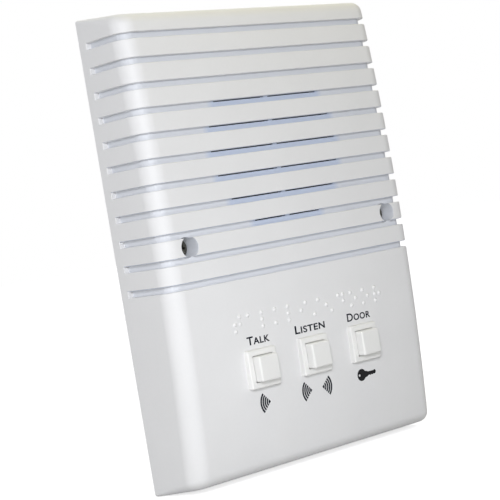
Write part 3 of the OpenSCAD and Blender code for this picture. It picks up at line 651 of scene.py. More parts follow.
class Shaper:
    """Small shapes that the pieces are made of, all in millimetres."""

    BEND_STEPS = 10

    @staticmethod
    def block(shape: BMesh, low: Point, high: Point) -> list[BMVert]:
        """Adds a block between two corners.

        Args:
            shape: Shape to add to.
            low: Lowest corner.
            high: Highest corner.

        Returns:
            The block's vertices.
        """
        size = [b - a for a, b in zip(low, high)]
        middle = [(a + b) / 2 for a, b in zip(low, high)]
        place = Matrix.Translation(metres(*middle)) @ Matrix.Diagonal((*metres(*size), 1.0))
        return bmesh.ops.create_cube(shape, size=1.0, matrix=place)["verts"]

    @staticmethod
    def turned(shape: BMesh, outline: Sequence[Flat], x: float, z: float, steps: int = 48) -> list[BMVert]:
        """Adds an outline of radius and y, turned about an axis along Y.

        Args:
            shape: Shape to add to.
            outline: Radius and y of each point.
            x: Place of the axis.
            z: Height of the axis.
            steps: Steps of a full turn.

        Returns:
            The new vertices.
        """
        before = set(shape.verts)
        points = [shape.verts.new(metres(x + radius, y, z)) for radius, y in outline]
        edges = [shape.edges.new(pair) for pair in zip(points, points[1:])]
        bmesh.ops.spin(shape, geom=points + edges, cent=metres(x, 0.0, z), axis=(0.0, 1.0, 0.0),
                       angle=math.tau, steps=steps, use_merge=True)
        made = [vertex for vertex in shape.verts if vertex not in before]
        bmesh.ops.remove_doubles(shape, verts=made, dist=Bench.MERGE)
        return [vertex for vertex in shape.verts if vertex not in before]

    @staticmethod
    def wall(
        shape: BMesh, line: Sequence[Flat], radius: float, corners: Sequence[int],
        levels: Sequence[float], segments: int
    ) -> tuple[list[BMEdge], list[BMEdge]]:
        """Raises a plan line with rounded corners through a set of levels.

        Args:
            shape: Shape to add to.
            line: Points of the plan, each x and y.
            radius: Radius of the rounded corners.
            corners: Places in the line of the corners to round.
            levels: Heights, lowest first.
            segments: Segments of each rounded corner.

        Returns:
            The edges of the lowest and of the highest level.
        """
        before = set(shape.edges)
        points = [shape.verts.new(metres(x, y, levels[0])) for x, y in line]
        for pair in zip(points, points[1:]):
            shape.edges.new(pair)
        bmesh.ops.bevel(shape, geom=[points[n] for n in corners], offset=radius * MM,
                        offset_type="OFFSET", segments=segments, profile=0.5,
                        affect="VERTICES", material=-1)
        lowest = [edge for edge in shape.edges if edge not in before]
        ring = lowest
        for low, high in zip(levels, levels[1:]):
            ring = Shaper.push(shape, ring, (0.0, 0.0, high - low))
        return lowest, ring

    @staticmethod
    def ring(shape: BMesh, place: Point, radius: float, sides: int = 16) -> list[BMEdge]:
        """Adds a circle that faces along Y and gives its edges."""
        facing = Matrix.Translation(metres(*place)) @ Matrix.Rotation(math.radians(90.0), 4, "X")
        verts = bmesh.ops.create_circle(shape, cap_ends=False, segments=sides, radius=radius * MM,
                                        matrix=facing)["verts"]
        return Shaper.edges_at(verts)

    @staticmethod
    def edges_at(verts: Iterable[BMVert]) -> list[BMEdge]:
        """Every edge that meets one of the points, each once."""
        return list(dict.fromkeys(edge for vertex in verts for edge in vertex.link_edges))

    @staticmethod
    def push(shape: BMesh, ring: Sequence[BMEdge], way: Point) -> list[BMEdge]:
        """Draws a row or ring of edges straight on.

        Args:
            shape: Shape that holds the edges.
            ring: Edges at the end.
            way: How far they go.

        Returns:
            The edges at the new end.
        """
        made = bmesh.ops.extrude_edge_only(shape, edges=list(ring))["geom"]
        moved = dict.fromkeys(only(made, BMVert))
        bmesh.ops.translate(shape, verts=list(moved), vec=metres(*way))
        return [edge for edge in only(made, BMEdge) if all(vertex in moved for vertex in edge.verts)]

    @staticmethod
    def turn(shape: BMesh, ring: Sequence[BMEdge], centre: Point, angle: float) -> list[BMEdge]:
        """Draws a ring of edges round an axis along X.

        Args:
            shape: Shape that holds the ring.
            ring: Edges at the end of the tube.
            centre: Point of the axis.
            angle: Angle of the turn, in degrees.

        Returns:
            The edges at the new end.
        """
        verts = list(dict.fromkeys(vertex for edge in ring for vertex in edge.verts))
        last = bmesh.ops.spin(shape, geom=[*verts, *ring], cent=metres(*centre), axis=(1.0, 0.0, 0.0),
                              angle=math.radians(angle), steps=Shaper.BEND_STEPS)["geom_last"]
        return only(last, BMEdge)

    @staticmethod
    def rounded(shape: BMesh, edges: Iterable[BMEdge], radius: float, segments: int) -> list[BMFace]:
        """Rounds edges, passing over those that are gone.

        Args:
            shape: Shape that holds the edges.
            edges: Edges to round.
            radius: Radius of the rounding.
            segments: Segments across it.

        Returns:
            The faces of the rounding.
        """
        kept = [edge for edge in edges if edge.is_valid]
        return bmesh.ops.bevel(shape, geom=kept, offset=radius * MM, offset_type="OFFSET", segments=segments,
                               profile=0.5, affect="EDGES", material=-1)["faces"]

    @staticmethod
    def split(shape: BMesh, faces: Iterable[BMFace], place: Point, normal: Point) -> list[BMFace]:
        """Cuts some faces along a plane.

        Args:
            shape: Shape that holds the faces.
            faces: Faces to cut.
            place: Point of the plane.
            normal: Normal of the plane.

        Returns:
            The faces after the cut.
        """
        parts = dict.fromkeys(part for face in faces for part in (face, *face.edges, *face.verts))
        made = bmesh.ops.bisect_plane(shape, geom=list(parts), plane_co=metres(*place),
                                      plane_no=normal, dist=NEAR / 10)
        return list(dict.fromkeys(only(made["geom"], BMFace)))


@dataclass(frozen=True)
class Bow:
    """The front face, which bows out from its two ends to its middle."""

    depth: float = 26.8
    rise: float = 3.5
    half_height: float = 80.2

    @property
    def radius(self) -> float:
        """Radius of the bow."""
        return (self.half_height ** 2 + self.rise ** 2) / (2 * self.rise)

    def drop(self, z: float) -> float:
        """How far the front lies behind its middle at one height."""
        return self.radius - math.sqrt(self.radius ** 2 - z ** 2)

    def face_y(self, z: float) -> float:
        """Place of the front at one height."""
        return self.drop(z) - self.depth

    def bend(self, points: Iterable[BMVert], limit_y: float = 0.0) -> None:
        """Moves points of a flat front back to the bow.

        Args:
            points: Points of the flat front.
            limit_y: Points from this plane to the wall stay.
        """
        for point in points:
            if point.co.y < limit_y * MM:
                point.co.y += self.drop(point.co.z / MM) * MM


@dataclass(frozen=True)
class Layout:
    """Places that several sub-assemblies share; a pair is x and z."""

    button_z: float = -44.9
    button_pitch: float = 25.2
    speaker_z: float = 31.025
    cover_screws: tuple[Flat, ...] = ((-48.2, 0.25), (48.2, 0.25))
    board_posts: tuple[Flat, ...] = ((-45.4, -69.9), (-45.4, -23.9), (45.4, -69.9), (45.4, -23.9))
    clip_posts: tuple[Flat, ...] = ((-27.29, 3.73), (-27.29, 58.32), (27.29, 3.73), (27.29, 58.32))

    def button_x(self, key: Key) -> float:
        """Place of a button across the cover."""
        return key.place * self.button_pitch


BOW = Bow()
LAYOUT = Layout()


@dataclass
class Cover:
    """The moulded front cover: grooves, sound slots, screw tubes and button openings."""

    bench: Bench
    width: float = 119.4
    height: float = 2 * BOW.half_height
    depth: float = BOW.depth
    draft: float = 2.2
    wall: float = 2.2
    edge_r: float = 6.5
    inner_r: float = 2.0
    end_r: float = 3.4
    end_margin: float = 1.0
    end_sharpness: float = 0.3
    groove_count: int = 11
    groove_pitch: float = 8.535
    groove_w: float = 2.2
    groove_depth: float = 2.1
    groove_floor: float = 1.8
    groove_start: float = 6.3
    groove_land: float = 3.8
    lip_r: float = 0.35
    lip_lean: float = 0.4
    slot_rows: range = range(4, 10)
    slot_area_d: float = 60.0
    slot_h: float = 0.4
    slot_web: float = 2.0
    # Painted shade: shares of the cover's shade tone on groove floors and on slat undersides in the lowest
    # row; shade_run and shade_steps step it up towards the slots.
    floor_shade: float = 0.32
    lip_shade: float = 1.0
    shade_run: float = 3.0
    shade_steps: int = 5
    screw_x: float = LAYOUT.cover_screws[1][0]
    screw_row: int = 9
    tube_bore: float = 7.2
    tube_wall: float = 0.5
    tube_clear: float = 0.4
    tube_steps: int = 72
    mouth_r: float = 0.15
    head_sink: float = 4.5
    head_h: float = 2.2
    tube_back_y: float = -4.2
    screw_hole_d: float = 4.0
    opening_w: float = 11.7
    corner_segments: int = 14
    end_segments: int = 8
    inner_segments: int = 6
    panel_segments: int = 8
    end_reach: float = 0.05
    bow_step: float = 6.0

    @property
    def top(self) -> float:
        """Height of the top."""
        return self.height / 2

    @property
    def half(self) -> float:
        """Half of the width."""
        return self.width / 2

    @property
    def inner_y(self) -> float:
        """Inner face behind the grooves."""
        return -self.depth + self.groove_depth + self.groove_floor

    @property
    def screw_z(self) -> float:
        """Height of the two cover screws."""
        return (self.groove_top(self.screw_row) - self.groove_w + self.groove_top(self.screw_row + 1)) / 2

    @property
    def bow_limit_y(self) -> float:
        """Plane behind which the sides stay straight."""
        return -self.groove_land - 1.0

    @property
    def step_z(self) -> float:
        """Height at which the cover's wall gets thinner."""
        return self.groove_top(self.groove_count) - self.groove_w - self.wall

    def groove_top(self, row: int) -> float:
        """Upper edge of a groove, counted from the top."""
        return self.top - self.groove_start - (row - 1) * self.groove_pitch

    def _steps(self, low: float, high: float) -> list[float]:
        """Even levels from low to high, close enough for the bow to look smooth."""
        count = math.ceil((high - low) / self.bow_step)
        return [low + (high - low) * step / count for step in range(count + 1)]

    def _levels(self, low: float, high: float) -> list[float]:
        """Steps from low to high, moved to the edges of a slot or opening that they fall in."""
        half = self.opening_w / 2
        holes = [(LAYOUT.button_z - half, LAYOUT.button_z + half)]
        holes += [(self.groove_top(row) - self.slot_h, self.groove_top(row)) for row in self.slot_rows]
        levels = set(self._steps(low, high))
        for bottom, top in holes:
            inside = {level for level in levels if bottom < level < top}
            if inside:
                levels = (levels - inside) | {bottom, top}
        return sorted(levels)

    def build(self) -> None:
        """Models the cover and dresses it."""
        shape = bmesh.new()
        self._outside(shape)
        self._inside(shape)
        self._close_back(shape)
        body = self.bench.mesh_of("front_cover_body", shape)
        mesh = self.bench.cut("cover", body, [("UNION", self._tubes()), ("DIFFERENCE", self._bores())])
        self.bench.piece("cover", mesh, "cover_plastic", stands_for=["front_cover"],
                         slot="cover_plastic")

    def _outside(self, shape: BMesh) -> None:
        """Adds the grooved outer skin with its rounded ends.

        Args:
            shape: Shape to add to.
        """
        # Mask of painted shade for the groove floors and the slat undersides.
        shape.faces.layers.float.new(PAINTED_SHADE)
        grooves = [(self.groove_top(row) - self.groove_w, self.groove_top(row))
                   for row in range(self.groove_count, 0, -1)]
        panel = self._levels(-self.top + self.end_r + self.end_margin, grooves[0][0])
        levels = [-self.top, *panel, *[z for pair in grooves for z in pair][1:], self.top]
        line = [(-self.half, 0.0), (-self.half, -self.groove_land), (-self.half, -self.depth),
                (self.half, -self.depth), (self.half, -self.groove_land), (self.half, 0.0)]
        Shaper.wall(shape, line, self.edge_r, (2, 3), levels, self.corner_segments)
        bmesh.ops.recalc_face_normals(shape, faces=shape.faces[:])
        front = min(shape.faces, key=lambda face: face.calc_center_median().y)
        if front.normal.y > 0:
            bmesh.ops.reverse_faces(shape, faces=shape.faces[:])
        lips = self._grooves(shape, grooves)
        self._slots(shape)
        self._openings(shape, -self.depth)
        ends = []
        for level in (-self.top, self.top):
            ring = [edge for edge in shape.edges if edge.is_boundary and in_plane(edge, 2, level)]
            self._cap(shape, ring)
            ends += ring
        self._round_lips(shape, lips)
        Shaper.rounded(shape, ends, self.end_r, self.end_segments)
        self._draw_ends(shape)
        self._part_tubes(shape)

    def _grooves(self, shape: BMesh, spans: Sequence[Flat]) -> list[BMEdge]:
        """Sinks the grooves into the front and both sides.

        Args:
            shape: Shape with the plain outer skin.
            spans: Lower and upper edge of each groove.

        Returns:
            The edges along the grooves' lips.
        """
        recess = shape.faces.layers.float[PAINTED_SHADE]
        lips: dict[BMEdge, None] = {}
        for low, high in spans:
            band = [face for face in shape.faces
                    if low * MM < face.calc_center_median().z < high * MM
                    and face.calc_center_median().y < -self.groove_land * MM]
            chosen = set(band)
            lips.update(dict.fromkeys(edge for face in band for edge in face.edges
                                      if sum(other in chosen for other in edge.link_faces) == 1))
            bmesh.ops.inset_region(shape, faces=band, thickness=0.0, depth=-self.groove_depth * MM,
                                   use_boundary=True, use_even_offset=True)
            # Painted shade on each groove floor.
            for face in band:
                face[recess] = self.floor_shade
        return list(lips)

    def _round_lips(self, shape: BMesh, lips: Sequence[BMEdge]) -> None:
        """Rounds the grooves' lips and paints shade on their undersides, darker from row to row.

        Args:
            shape: Shape that holds the grooves.
            lips: Edges along the grooves.
        """
        recess = shape.faces.layers.float[PAINTED_SHADE]
        for face in Shaper.rounded(shape, lips, self.lip_r, 3):
            face.normal_update()
            # Painted shade on the downward faces, stronger in lower rows.
            if face.normal.z < -self.lip_lean:
                row = (self.groove_top(1) - face.calc_center_median().z / MM) / self.groove_pitch
                face[recess] = self.lip_shade * row / self.groove_count

    @staticmethod
    def _cap(shape: BMesh, ring: Sequence[BMEdge]) -> None:
        """Closes an end of a skin, straight along the wall.

        Args:
            shape: Shape that holds the skin.
            ring: Edges of the end, open along the wall.
        """
        backs = [vertex for edge in ring for vertex in edge.verts if abs(vertex.co.y) < NEAR]
        closing = shape.edges.new(dict.fromkeys(backs))
        bmesh.ops.edgeloop_fill(shape, edges=[*ring, closing])

    @staticmethod
    def _pierce(shape: BMesh, holes: Sequence[BMFace], depth: float) -> None:
        """Opens faces and draws their edges back to make the walls of a hole.

        Args:
            shape: Shape that holds the faces.
            holes: Faces to open.
            depth: Depth of the walls.
        """
        raised = bmesh.ops.extrude_face_region(shape, geom=holes)["geom"]
        bmesh.ops.translate(shape, verts=only(raised, BMVert), vec=metres(0.0, depth, 0.0))
        bmesh.ops.delete(shape, geom=only(raised, BMFace), context="FACES_ONLY")
        bmesh.ops.delete(shape, geom=[face for face in holes if face.is_valid], context="FACES_ONLY")

    def _chord(self, row: int) -> float:
        """Half of the length of the slots in a row."""
        drop = self.groove_top(row) - self.slot_h / 2 - LAYOUT.speaker_z
        return math.sqrt((self.slot_area_d / 2) ** 2 - drop ** 2)

    def _slots(self, shape: BMesh) -> None:
        """Cuts the sound slots through the floors of their grooves, with painted shade that grows in steps
        towards the slots.

        Args:
            shape: Shape that holds the grooves.
        """
        floor_y = -self.depth + self.groove_depth
        recess = shape.faces.layers.float[PAINTED_SHADE]
        for row in self.slot_rows:
            top = self.groove_top(row)
            chord = self._chord(row)
            floor = [face for face in shape.faces
                     if abs(face.calc_center_median().y - floor_y * MM) < NEAR
                     and (top - self.groove_w) * MM < face.calc_center_median().z < top * MM]
            # Painted shade: the floor grows darker in steps towards each slot.
            for step in range(self.shade_steps):
                edge = chord + self.shade_run * (1.0 - step / self.shade_steps)
                for x in (-edge, edge):
                    floor = Shaper.split(shape, floor, (x, floor_y, 0.0), (1.0, 0.0, 0.0))
                for face in floor:
                    if abs(face.calc_center_median().x) < edge * MM:
                        share = (step + 1) / self.shade_steps
                        face[recess] = self.floor_shade + (1.0 - self.floor_shade) * share
            self._pierce(shape, self._slot_faces(shape, floor, row, floor_y), self.groove_floor)

    def _slot_faces(self, shape: BMesh, faces: Sequence[BMFace], row: int, y: float) -> list[BMFace]:
        """Splits flat faces along the edges of a row's two slots.

        Args:
            shape: Shape that holds the faces.
            faces: Faces to split.
            row: Row of the slots.
            y: Plane of the faces.

        Returns:
            The faces that lie in the slots.
        """
        top = self.groove_top(row)
        chord = self._chord(row)
        web = self.slot_web / 2
        parts = list(faces)
        for height in (top, top - self.slot_h):
            parts = Shaper.split(shape, parts, (0.0, y, height), (0.0, 0.0, 1.0))
        parts = [face for face in parts if abs(face.calc_center_median().z / MM - top) < self.slot_h
                 and face.calc_center_median().z / MM < top]
        for x in (-chord, -web, web, chord):
            parts = Shaper.split(shape, parts, (x, y, 0.0), (1.0, 0.0, 0.0))
        inside = []
        for face in parts:
            middle = face.calc_center_median() / MM
            if top - self.slot_h < middle.z < top and web < abs(middle.x) < chord:
                inside.append(face)
        return inside

    def _opening_faces(self, shape: BMesh, faces: Sequence[BMFace], key: Key, y: float) -> list[BMFace]:
        """Splits flat faces along a button's square opening.

        Args:
            shape: Shape that holds the faces.
            faces: Faces to split.
            key: The button.
            y: Plane of the faces.

        Returns:
            The faces that lie in the opening.
        """
        half = self.opening_w / 2
        x = LAYOUT.button_x(key)
        parts = list(faces)
        for edge in (x - half, x + half):
            parts = Shaper.split(shape, parts, (edge, y, 0.0), (1.0, 0.0, 0.0))
        for edge in (LAYOUT.button_z - half, LAYOUT.button_z + half):
            parts = Shaper.split(shape, parts, (0.0, y, edge), (0.0, 0.0, 1.0))
        inside = []
        for face in parts:
            middle = face.calc_center_median() / MM
            if abs(middle.x - x) < half and abs(middle.z - LAYOUT.button_z) < half:
                inside.append(face)
        return inside

    def _panel(self, shape: BMesh, y: float) -> list[BMFace]:
        """Flat faces of the plain lower panel in one plane."""
        return [face for face in shape.faces
                if in_plane(face, 1, y) and face.calc_center_median().z < self.step_z * MM]

    def _openings(self, shape: BMesh, y: float) -> None:
        """Cuts the three button openings through the panel's outer face.

        Args:
            shape: Shape that holds the panel.
            y: Plane of the outer face.
        """
        for key in Key:
            self._pierce(shape, self._opening_faces(shape, self._panel(shape, y), key, y), self.wall)

    def _inside(self, shape: BMesh) -> None:
        """Adds the inner skin, thicker behind the grooves, with the same holes.

        Args:
            shape: Shape to add to.
        """
        thin = self.half - self.wall
        thick = self.half - self.groove_depth - self.groove_floor
        rim = -self.groove_land + self.wall - self.groove_floor / 4
        panel_y = -self.depth + self.wall
        ceiling = self.top - self.wall
        upper = [(-thin, 0.0), (-thin, rim), (-thick, rim), (-thick, self.inner_y),
                 (thick, self.inner_y), (thick, rim), (thin, rim), (thin, 0.0)]
        lower = [(-thin, 0.0), (-thin, rim), (-thin, panel_y), (thin, panel_y), (thin, rim), (thin, 0.0)]
        before = set(shape.faces)
        _, upper_high = Shaper.wall(shape, upper, self.inner_r, (3, 4),
                                    self._levels(self.step_z, ceiling), self.inner_segments)
        lower_low, _ = Shaper.wall(shape, lower, self.edge_r - self.wall, (2, 3),
                                   self._levels(-ceiling, self.step_z), self.panel_segments)
        for ring in (upper_high, lower_low):
            self._cap(shape, ring)
        skin = [face for face in shape.faces if face not in before]
        skin_verts = list(dict.fromkeys(vertex for face in skin for vertex in face.verts))
        bmesh.ops.remove_doubles(shape, verts=skin_verts, dist=Bench.MERGE)
        shelf = [edge for edge in shape.edges if edge.is_boundary and in_plane(edge, 2, self.step_z)]
        bmesh.ops.edgeloop_fill(shape, edges=shelf)
        for row in self.slot_rows:
            back = [face for face in shape.faces if face not in before and in_plane(face, 1, self.inner_y)]
            holes = self._slot_faces(shape, back, row, self.inner_y)
            bmesh.ops.delete(shape, geom=holes, context="FACES_ONLY")
        for key in Key:
            panel = [face for face in self._panel(shape, panel_y) if face not in before]
            holes = self._opening_faces(shape, panel, key, panel_y)
            bmesh.ops.delete(shape, geom=holes, context="FACES_ONLY")

    def _close_back(self, shape: BMesh) -> None:
        """Closes the back edge between the outer and the inner skin.

        Args:
            shape: Shape that holds both skins.
        """
        bmesh.ops.remove_doubles(shape, verts=shape.verts[:], dist=Bench.MERGE)
        rims = [edge for edge in shape.edges if edge.is_boundary and in_plane(edge, 1, 0.0)]
        bmesh.ops.bridge_loops(shape, edges=rims)
        BOW.bend(shape.verts, self.bow_limit_y)
        open_edges = sum(not edge.is_manifold for edge in shape.edges)
        LOG.info("cover: %d open edges", open_edges)

    def _draw_ends(self, shape: BMesh) -> None:
        """Slopes the top and the bottom, and sharpens their side edges towards the wall.

        Args:
            shape: Shape with the outer skin, still flat in front.
        """
        straight = self.depth - self.edge_r
        reach = self.end_r + self.end_reach
        front = BOW.face_y(self.top)
        for vertex in shape.verts:
            x, y, z = vertex.co / MM
            below = self.top - abs(z)
            if below > reach:
                continue
            flush = y + (BOW.drop(z) if y < self.bow_limit_y else 0.0)
            beside = self.half - abs(x)
            if y > -straight + 0.01 and beside < reach:
                keep = self.end_sharpness + (1.0 - self.end_sharpness) * -y / straight
                x = math.copysign(self.half - beside * keep, x)
                below *= keep
            rise = self.draft * max(0.0, 1.0 - flush / front)
            vertex.co = metres(x, y, math.copysign(self.top - below + rise, z))

    def _part_tubes(self, shape: BMesh) -> None:
        """Cuts the faces about the screw tubes off from the long slats.

        Args:
            shape: Shape with the outer skin, still flat in front.
        """
        reach = self.tube_bore / 2 + self.tube_wall + self.tube_clear
        low = self.groove_top(self.screw_row + 1) - self.groove_w - self.lip_r
        high = self.groove_top(self.screw_row) + self.lip_r
        inner, outer = self.screw_x - reach, self.screw_x + reach
        for x in (-outer, -inner, inner, outer):
            rows = [face for face in shape.faces
                    if low < face.calc_center_median().z / MM < high
                    and face.calc_center_median().y < -self.groove_land * MM]
            Shaper.split(shape, rows, (x, 0.0, 0.0), (1.0, 0.0, 0.0))

    def _tubes(self) -> Mesh:
        """Solid rods that become the two screw tubes.

        Returns:
            The closed mesh.
        """
        radius = self.tube_bore / 2 + self.tube_wall
        root = -self.depth + self.groove_depth + self.groove_floor / 2
        outline = [(0.0, root), (radius, root), (radius, self.tube_back_y), (0.0, self.tube_back_y)]
        shape = bmesh.new()
        for side in (-1, 1):
            Shaper.turned(shape, outline, side * self.screw_x, self.screw_z, self.tube_steps)
        return self.bench.mesh_of("tubes", shape)

    def _bores(self) -> Mesh:
        """Stepped bores of the two screw tubes, with softened mouths.

        Returns:
            The closed mesh.
        """
        radius, hole, soft = self.tube_bore / 2, self.screw_hole_d / 2, self.mouth_r
        ease = soft * (1.0 - math.cos(math.radians(45.0)))
        face = -self.depth
        seat = face + self.head_sink + self.head_h
        start, end = face - 1.0, self.tube_back_y + 1.0
        outline = [(0.0, start), (radius + soft, start), (radius + soft, face), (radius + ease, face + ease),
                   (radius, face + soft), (radius, seat), (hole, seat), (hole, end), (0.0, end)]
        shape = bmesh.new()
        for side in (-1, 1):
            Shaper.turned(shape, outline, side * self.screw_x, self.screw_z, self.tube_steps)
        # Painted shade on the bore walls.
        recess = shape.faces.layers.float.new(PAINTED_SHADE)
        for face in shape.faces:
            face[recess] = self.floor_shade
        return self.bench.mesh_of("bores", shape)


@dataclass(frozen=True)
class PostKind:
    """Posts of one length inside the cover."""

    root: float
    end_y: float
    floor_y: float
    places: tuple[Flat, ...]


@dataclass
class CoverPosts:
    """Posts for the board and the loudspeaker's clips, and the loudspeaker's seat."""

    bench: Bench
    post_d: float = 6.0
    bore_d: float = 2.7
    draft: float = 0.1
    soft: float = 0.25
    seat_in_r: float = 30.0
    seat_r: float = 33.25
    ring_r: float = 34.35
    ring_root: float = 3.0
    ring_over: float = 0.3
    post_steps: int = 40
    ring_steps: int = 96
    root_margin: float = 0.05
    kinds: tuple[PostKind, ...] = (
        PostKind(1.1, -11.1, -18.0, LAYOUT.board_posts),
        PostKind(3.0, -17.97, -20.4, LAYOUT.clip_posts),
    )

    def build(self) -> None:
        """Models the posts and the seat as one piece."""
        shape = bmesh.new()
        half, bore, soft = self.post_d / 2, self.bore_d / 2, self.soft
        for kind in self.kinds:
            for x, z in kind.places:
                root = BOW.face_y(z) + kind.root
                outline = [(0.0, root), (half + self.draft, root), (half, kind.end_y - soft),
                           (half - soft, kind.end_y), (bore + soft, kind.end_y),
                           (bore, kind.end_y - soft), (bore, kind.floor_y), (0.0, kind.floor_y)]
                Shaper.turned(shape, outline, x, z, self.post_steps)
        self._seat(shape)
        self.bench.piece("cover_posts", shape, "cover_plastic", slot="cover_plastic")

    def _seat(self, shape: BMesh) -> None:
        """Adds the ring that the loudspeaker sits in.

        Args:
            shape: Shape to add to.
        """
        seat_y = node_box("dust_cloth")[0][1]
        end_y = node_box("speaker_cone")[0][1] + self.ring_over
        root = -BOW.depth + self.ring_root
        soft = self.soft
        outline = [(self.seat_in_r, root), (self.seat_in_r, seat_y), (self.seat_r, seat_y),
                   (self.seat_r, end_y - soft), (self.seat_r + soft, end_y),
                   (self.ring_r - soft, end_y), (self.ring_r, end_y - soft), (self.ring_r, root),
                   (self.seat_in_r, root)]
        made = Shaper.turned(shape, outline, 0.0, LAYOUT.speaker_z, self.ring_steps)
        BOW.bend(made, root + self.root_margin)


@dataclass
class Pushbuttons:
    """Three bezels, the buttons that slide in them, and their return springs."""

    bench: Bench
    bezel_w: float = 13.4
    bezel_h: float = 2.0
    bezel_r: float = 0.6
    mouth_r: float = 0.2
    hole_w: float = 9.2
    sleeve_w: float = 11.4
    sleeve_y: float = -21.16
    cap_w: float = 8.9
    cap_rise: float = 5.1
    cap_r: float = 0.7
    cap_roof: float = 1.8
    cap_bore: float = 6.4
    lip_w: float = 10.8
    lip_t: float = 1.0
    boss_d: float = 5.1
    boss_len: float = 3.8
    boss_root: float = 0.5
    socket_d: float = 3.1
    travel: float = 2.5
    spring_end_y: float = -17.3
    spring_d: float = 4.7
    spring_wire: float = 0.5
    spring_turns: int = 6
    spring_steps: int = 28
    wire_sides: int = 12

    @property
    def bezel_front_y(self) -> float:
        """Front of the bezels."""
        return BOW.face_y(LAYOUT.button_z) - self.bezel_h

    @property
    def bezel_seat_y(self) -> float:
        """Flat back of the bezels, level with the cover along their lower edge."""
        return BOW.face_y(LAYOUT.button_z - self.bezel_w / 2)

    @property
    def cap_front_y(self) -> float:
        """Front of the buttons at rest."""
        return BOW.face_y(LAYOUT.button_z) - self.cap_rise

    @property
    def boss_y(self) -> float:
        """Inner end of the boss that each spring pushes on."""
        return self.cap_front_y + self.cap_roof + self.boss_len

    @property
    def spring_keep(self) -> float:
        """Share of a spring's length that is left when its button is in."""
        return 1.0 - self.travel / (self.spring_end_y - self.boss_y)

    def build(self) -> None:
        """Models the three buttons with what belongs to each."""
        for key in Key:
            self._bezel(key)
            self._button(key)
            self._spring(key)

    @staticmethod
    def _facing(shape: BMesh, end: int) -> BMFace:
        """Face that is furthest to the front (-1) or to the back (1)."""
        return max(shape.faces, key=lambda face: end * face.calc_center_median().y)

    @staticmethod
    def _tunnel(shape: BMesh, face: BMFace, inset: float, y: float) -> BMFace:
        """Insets a face and pushes the inner face to a plane.

        Args:
            shape: Shape that holds the face.
            face: Face to inset.
            inset: Width of the frame that is left.
            y: Plane that the inner face goes to.

        Returns:
            The pushed face.
        """
        bmesh.ops.inset_region(shape, faces=[face], thickness=inset * MM, depth=0.0, use_boundary=True,
                               use_even_offset=True)
        made = bmesh.ops.extrude_face_region(shape, geom=[face])["geom"]
        pushed = only(made, BMFace)[0]
        for vertex in pushed.verts:
            vertex.co.y = y * MM
        if face.is_valid:
            bmesh.ops.delete(shape, geom=[face], context="FACES_ONLY")
        return pushed

    def _bezel(self, key: Key) -> None:
        """Models one bezel with its sleeve.

        Args:
            key: Its button.
        """
        x, z, half = LAYOUT.button_x(key), LAYOUT.button_z, self.bezel_w / 2
        shape = bmesh.new()
        front_y, seat_y = self.bezel_front_y, self.bezel_seat_y
        Shaper.block(shape, (x - half, front_y, z - half), (x + half, seat_y, z + half))
        front = self._facing(shape, -1)
        rounded = [edge for edge in shape.edges if not in_plane(edge, 1, seat_y)]
        hole = self._tunnel(shape, front, (self.bezel_w - self.hole_w) / 2, self.sleeve_y)
        between = (self.bezel_w + self.hole_w) / 4
        mouth = [edge for edge in shape.edges if in_plane(edge, 1, front_y)
                 and all(abs(vertex.co.x / MM - x) < between for vertex in edge.verts)]
        bmesh.ops.delete(shape, geom=[hole], context="FACES_ONLY")
        back = max((face for face in shape.faces if abs(face.normal.y) > 0.9),
                   key=lambda face: face.calc_center_median().y)
        end = self._tunnel(shape, back, (self.bezel_w - self.sleeve_w) / 2, self.sleeve_y)
        bmesh.ops.inset_region(shape, faces=[end], thickness=(self.sleeve_w - self.hole_w) / 2 * MM,
                               depth=0.0, use_boundary=True, use_even_offset=True)
        bmesh.ops.delete(shape, geom=[end], context="FACES_ONLY")
        bmesh.ops.remove_doubles(shape, verts=shape.verts[:], dist=Bench.MERGE)
        Shaper.rounded(shape, rounded, self.bezel_r, 4)
        Shaper.rounded(shape, mouth, self.mouth_r, 2)
        name = f"{key.value}_bezel"
        self.bench.piece(f"{name}_frame", shape, "button_plastic", stands_for=[name],
                         slot="button_plastic")

    def _rod(self, x: float, diameter: float, y0: float, y1: float) -> Mesh:
        """Closed rod on a button's axis, used to cut or to join."""
        shape = bmesh.new()
        half = diameter / 2
        Shaper.turned(shape, [(0.0, y0), (half, y0), (half, y1), (0.0, y1)], x, LAYOUT.button_z)
        return self.bench.mesh_of("rod", shape)

    def _button(self, key: Key) -> None:
        """Models one button, hollow behind, with the lip that keeps it in.

        Args:
            key: The button.
        """
        x, z, half, lip = LAYOUT.button_x(key), LAYOUT.button_z, self.cap_w / 2, self.lip_w / 2
        back_y = self.sleeve_y + self.lip_t
        roof_y = self.cap_front_y + self.cap_roof
        shape = bmesh.new()
        Shaper.block(shape, (x - half, self.cap_front_y, z - half),
                     (x + half, self.sleeve_y + self.lip_t / 2, z + half))
        back = self._facing(shape, 1)
        Shaper.rounded(shape, [edge for edge in shape.edges if back not in edge.link_faces], self.cap_r, 4)
        name = f"{key.value}_button"
        cap = self.bench.mesh_of(name, shape)
        rim = bmesh.new()
        Shaper.block(rim, (x - lip, self.sleeve_y, z - lip), (x + lip, back_y, z + lip))
        steps = [("UNION", self.bench.mesh_of("lip", rim)),
                 ("DIFFERENCE", self._rod(x, self.cap_bore, roof_y, back_y + 1.0)),
                 ("UNION", self._rod(x, self.boss_d, roof_y - self.boss_root, self.boss_y)),
                 ("DIFFERENCE", self._rod(x, self.socket_d, roof_y, self.boss_y + 1.0))]
        mesh = self.bench.cut(name, cap, steps)
        self.bench.piece(f"{name}_cap", mesh, "button_plastic", body=f"{key.value}_key",
                         stands_for=[name], slot="button_plastic")

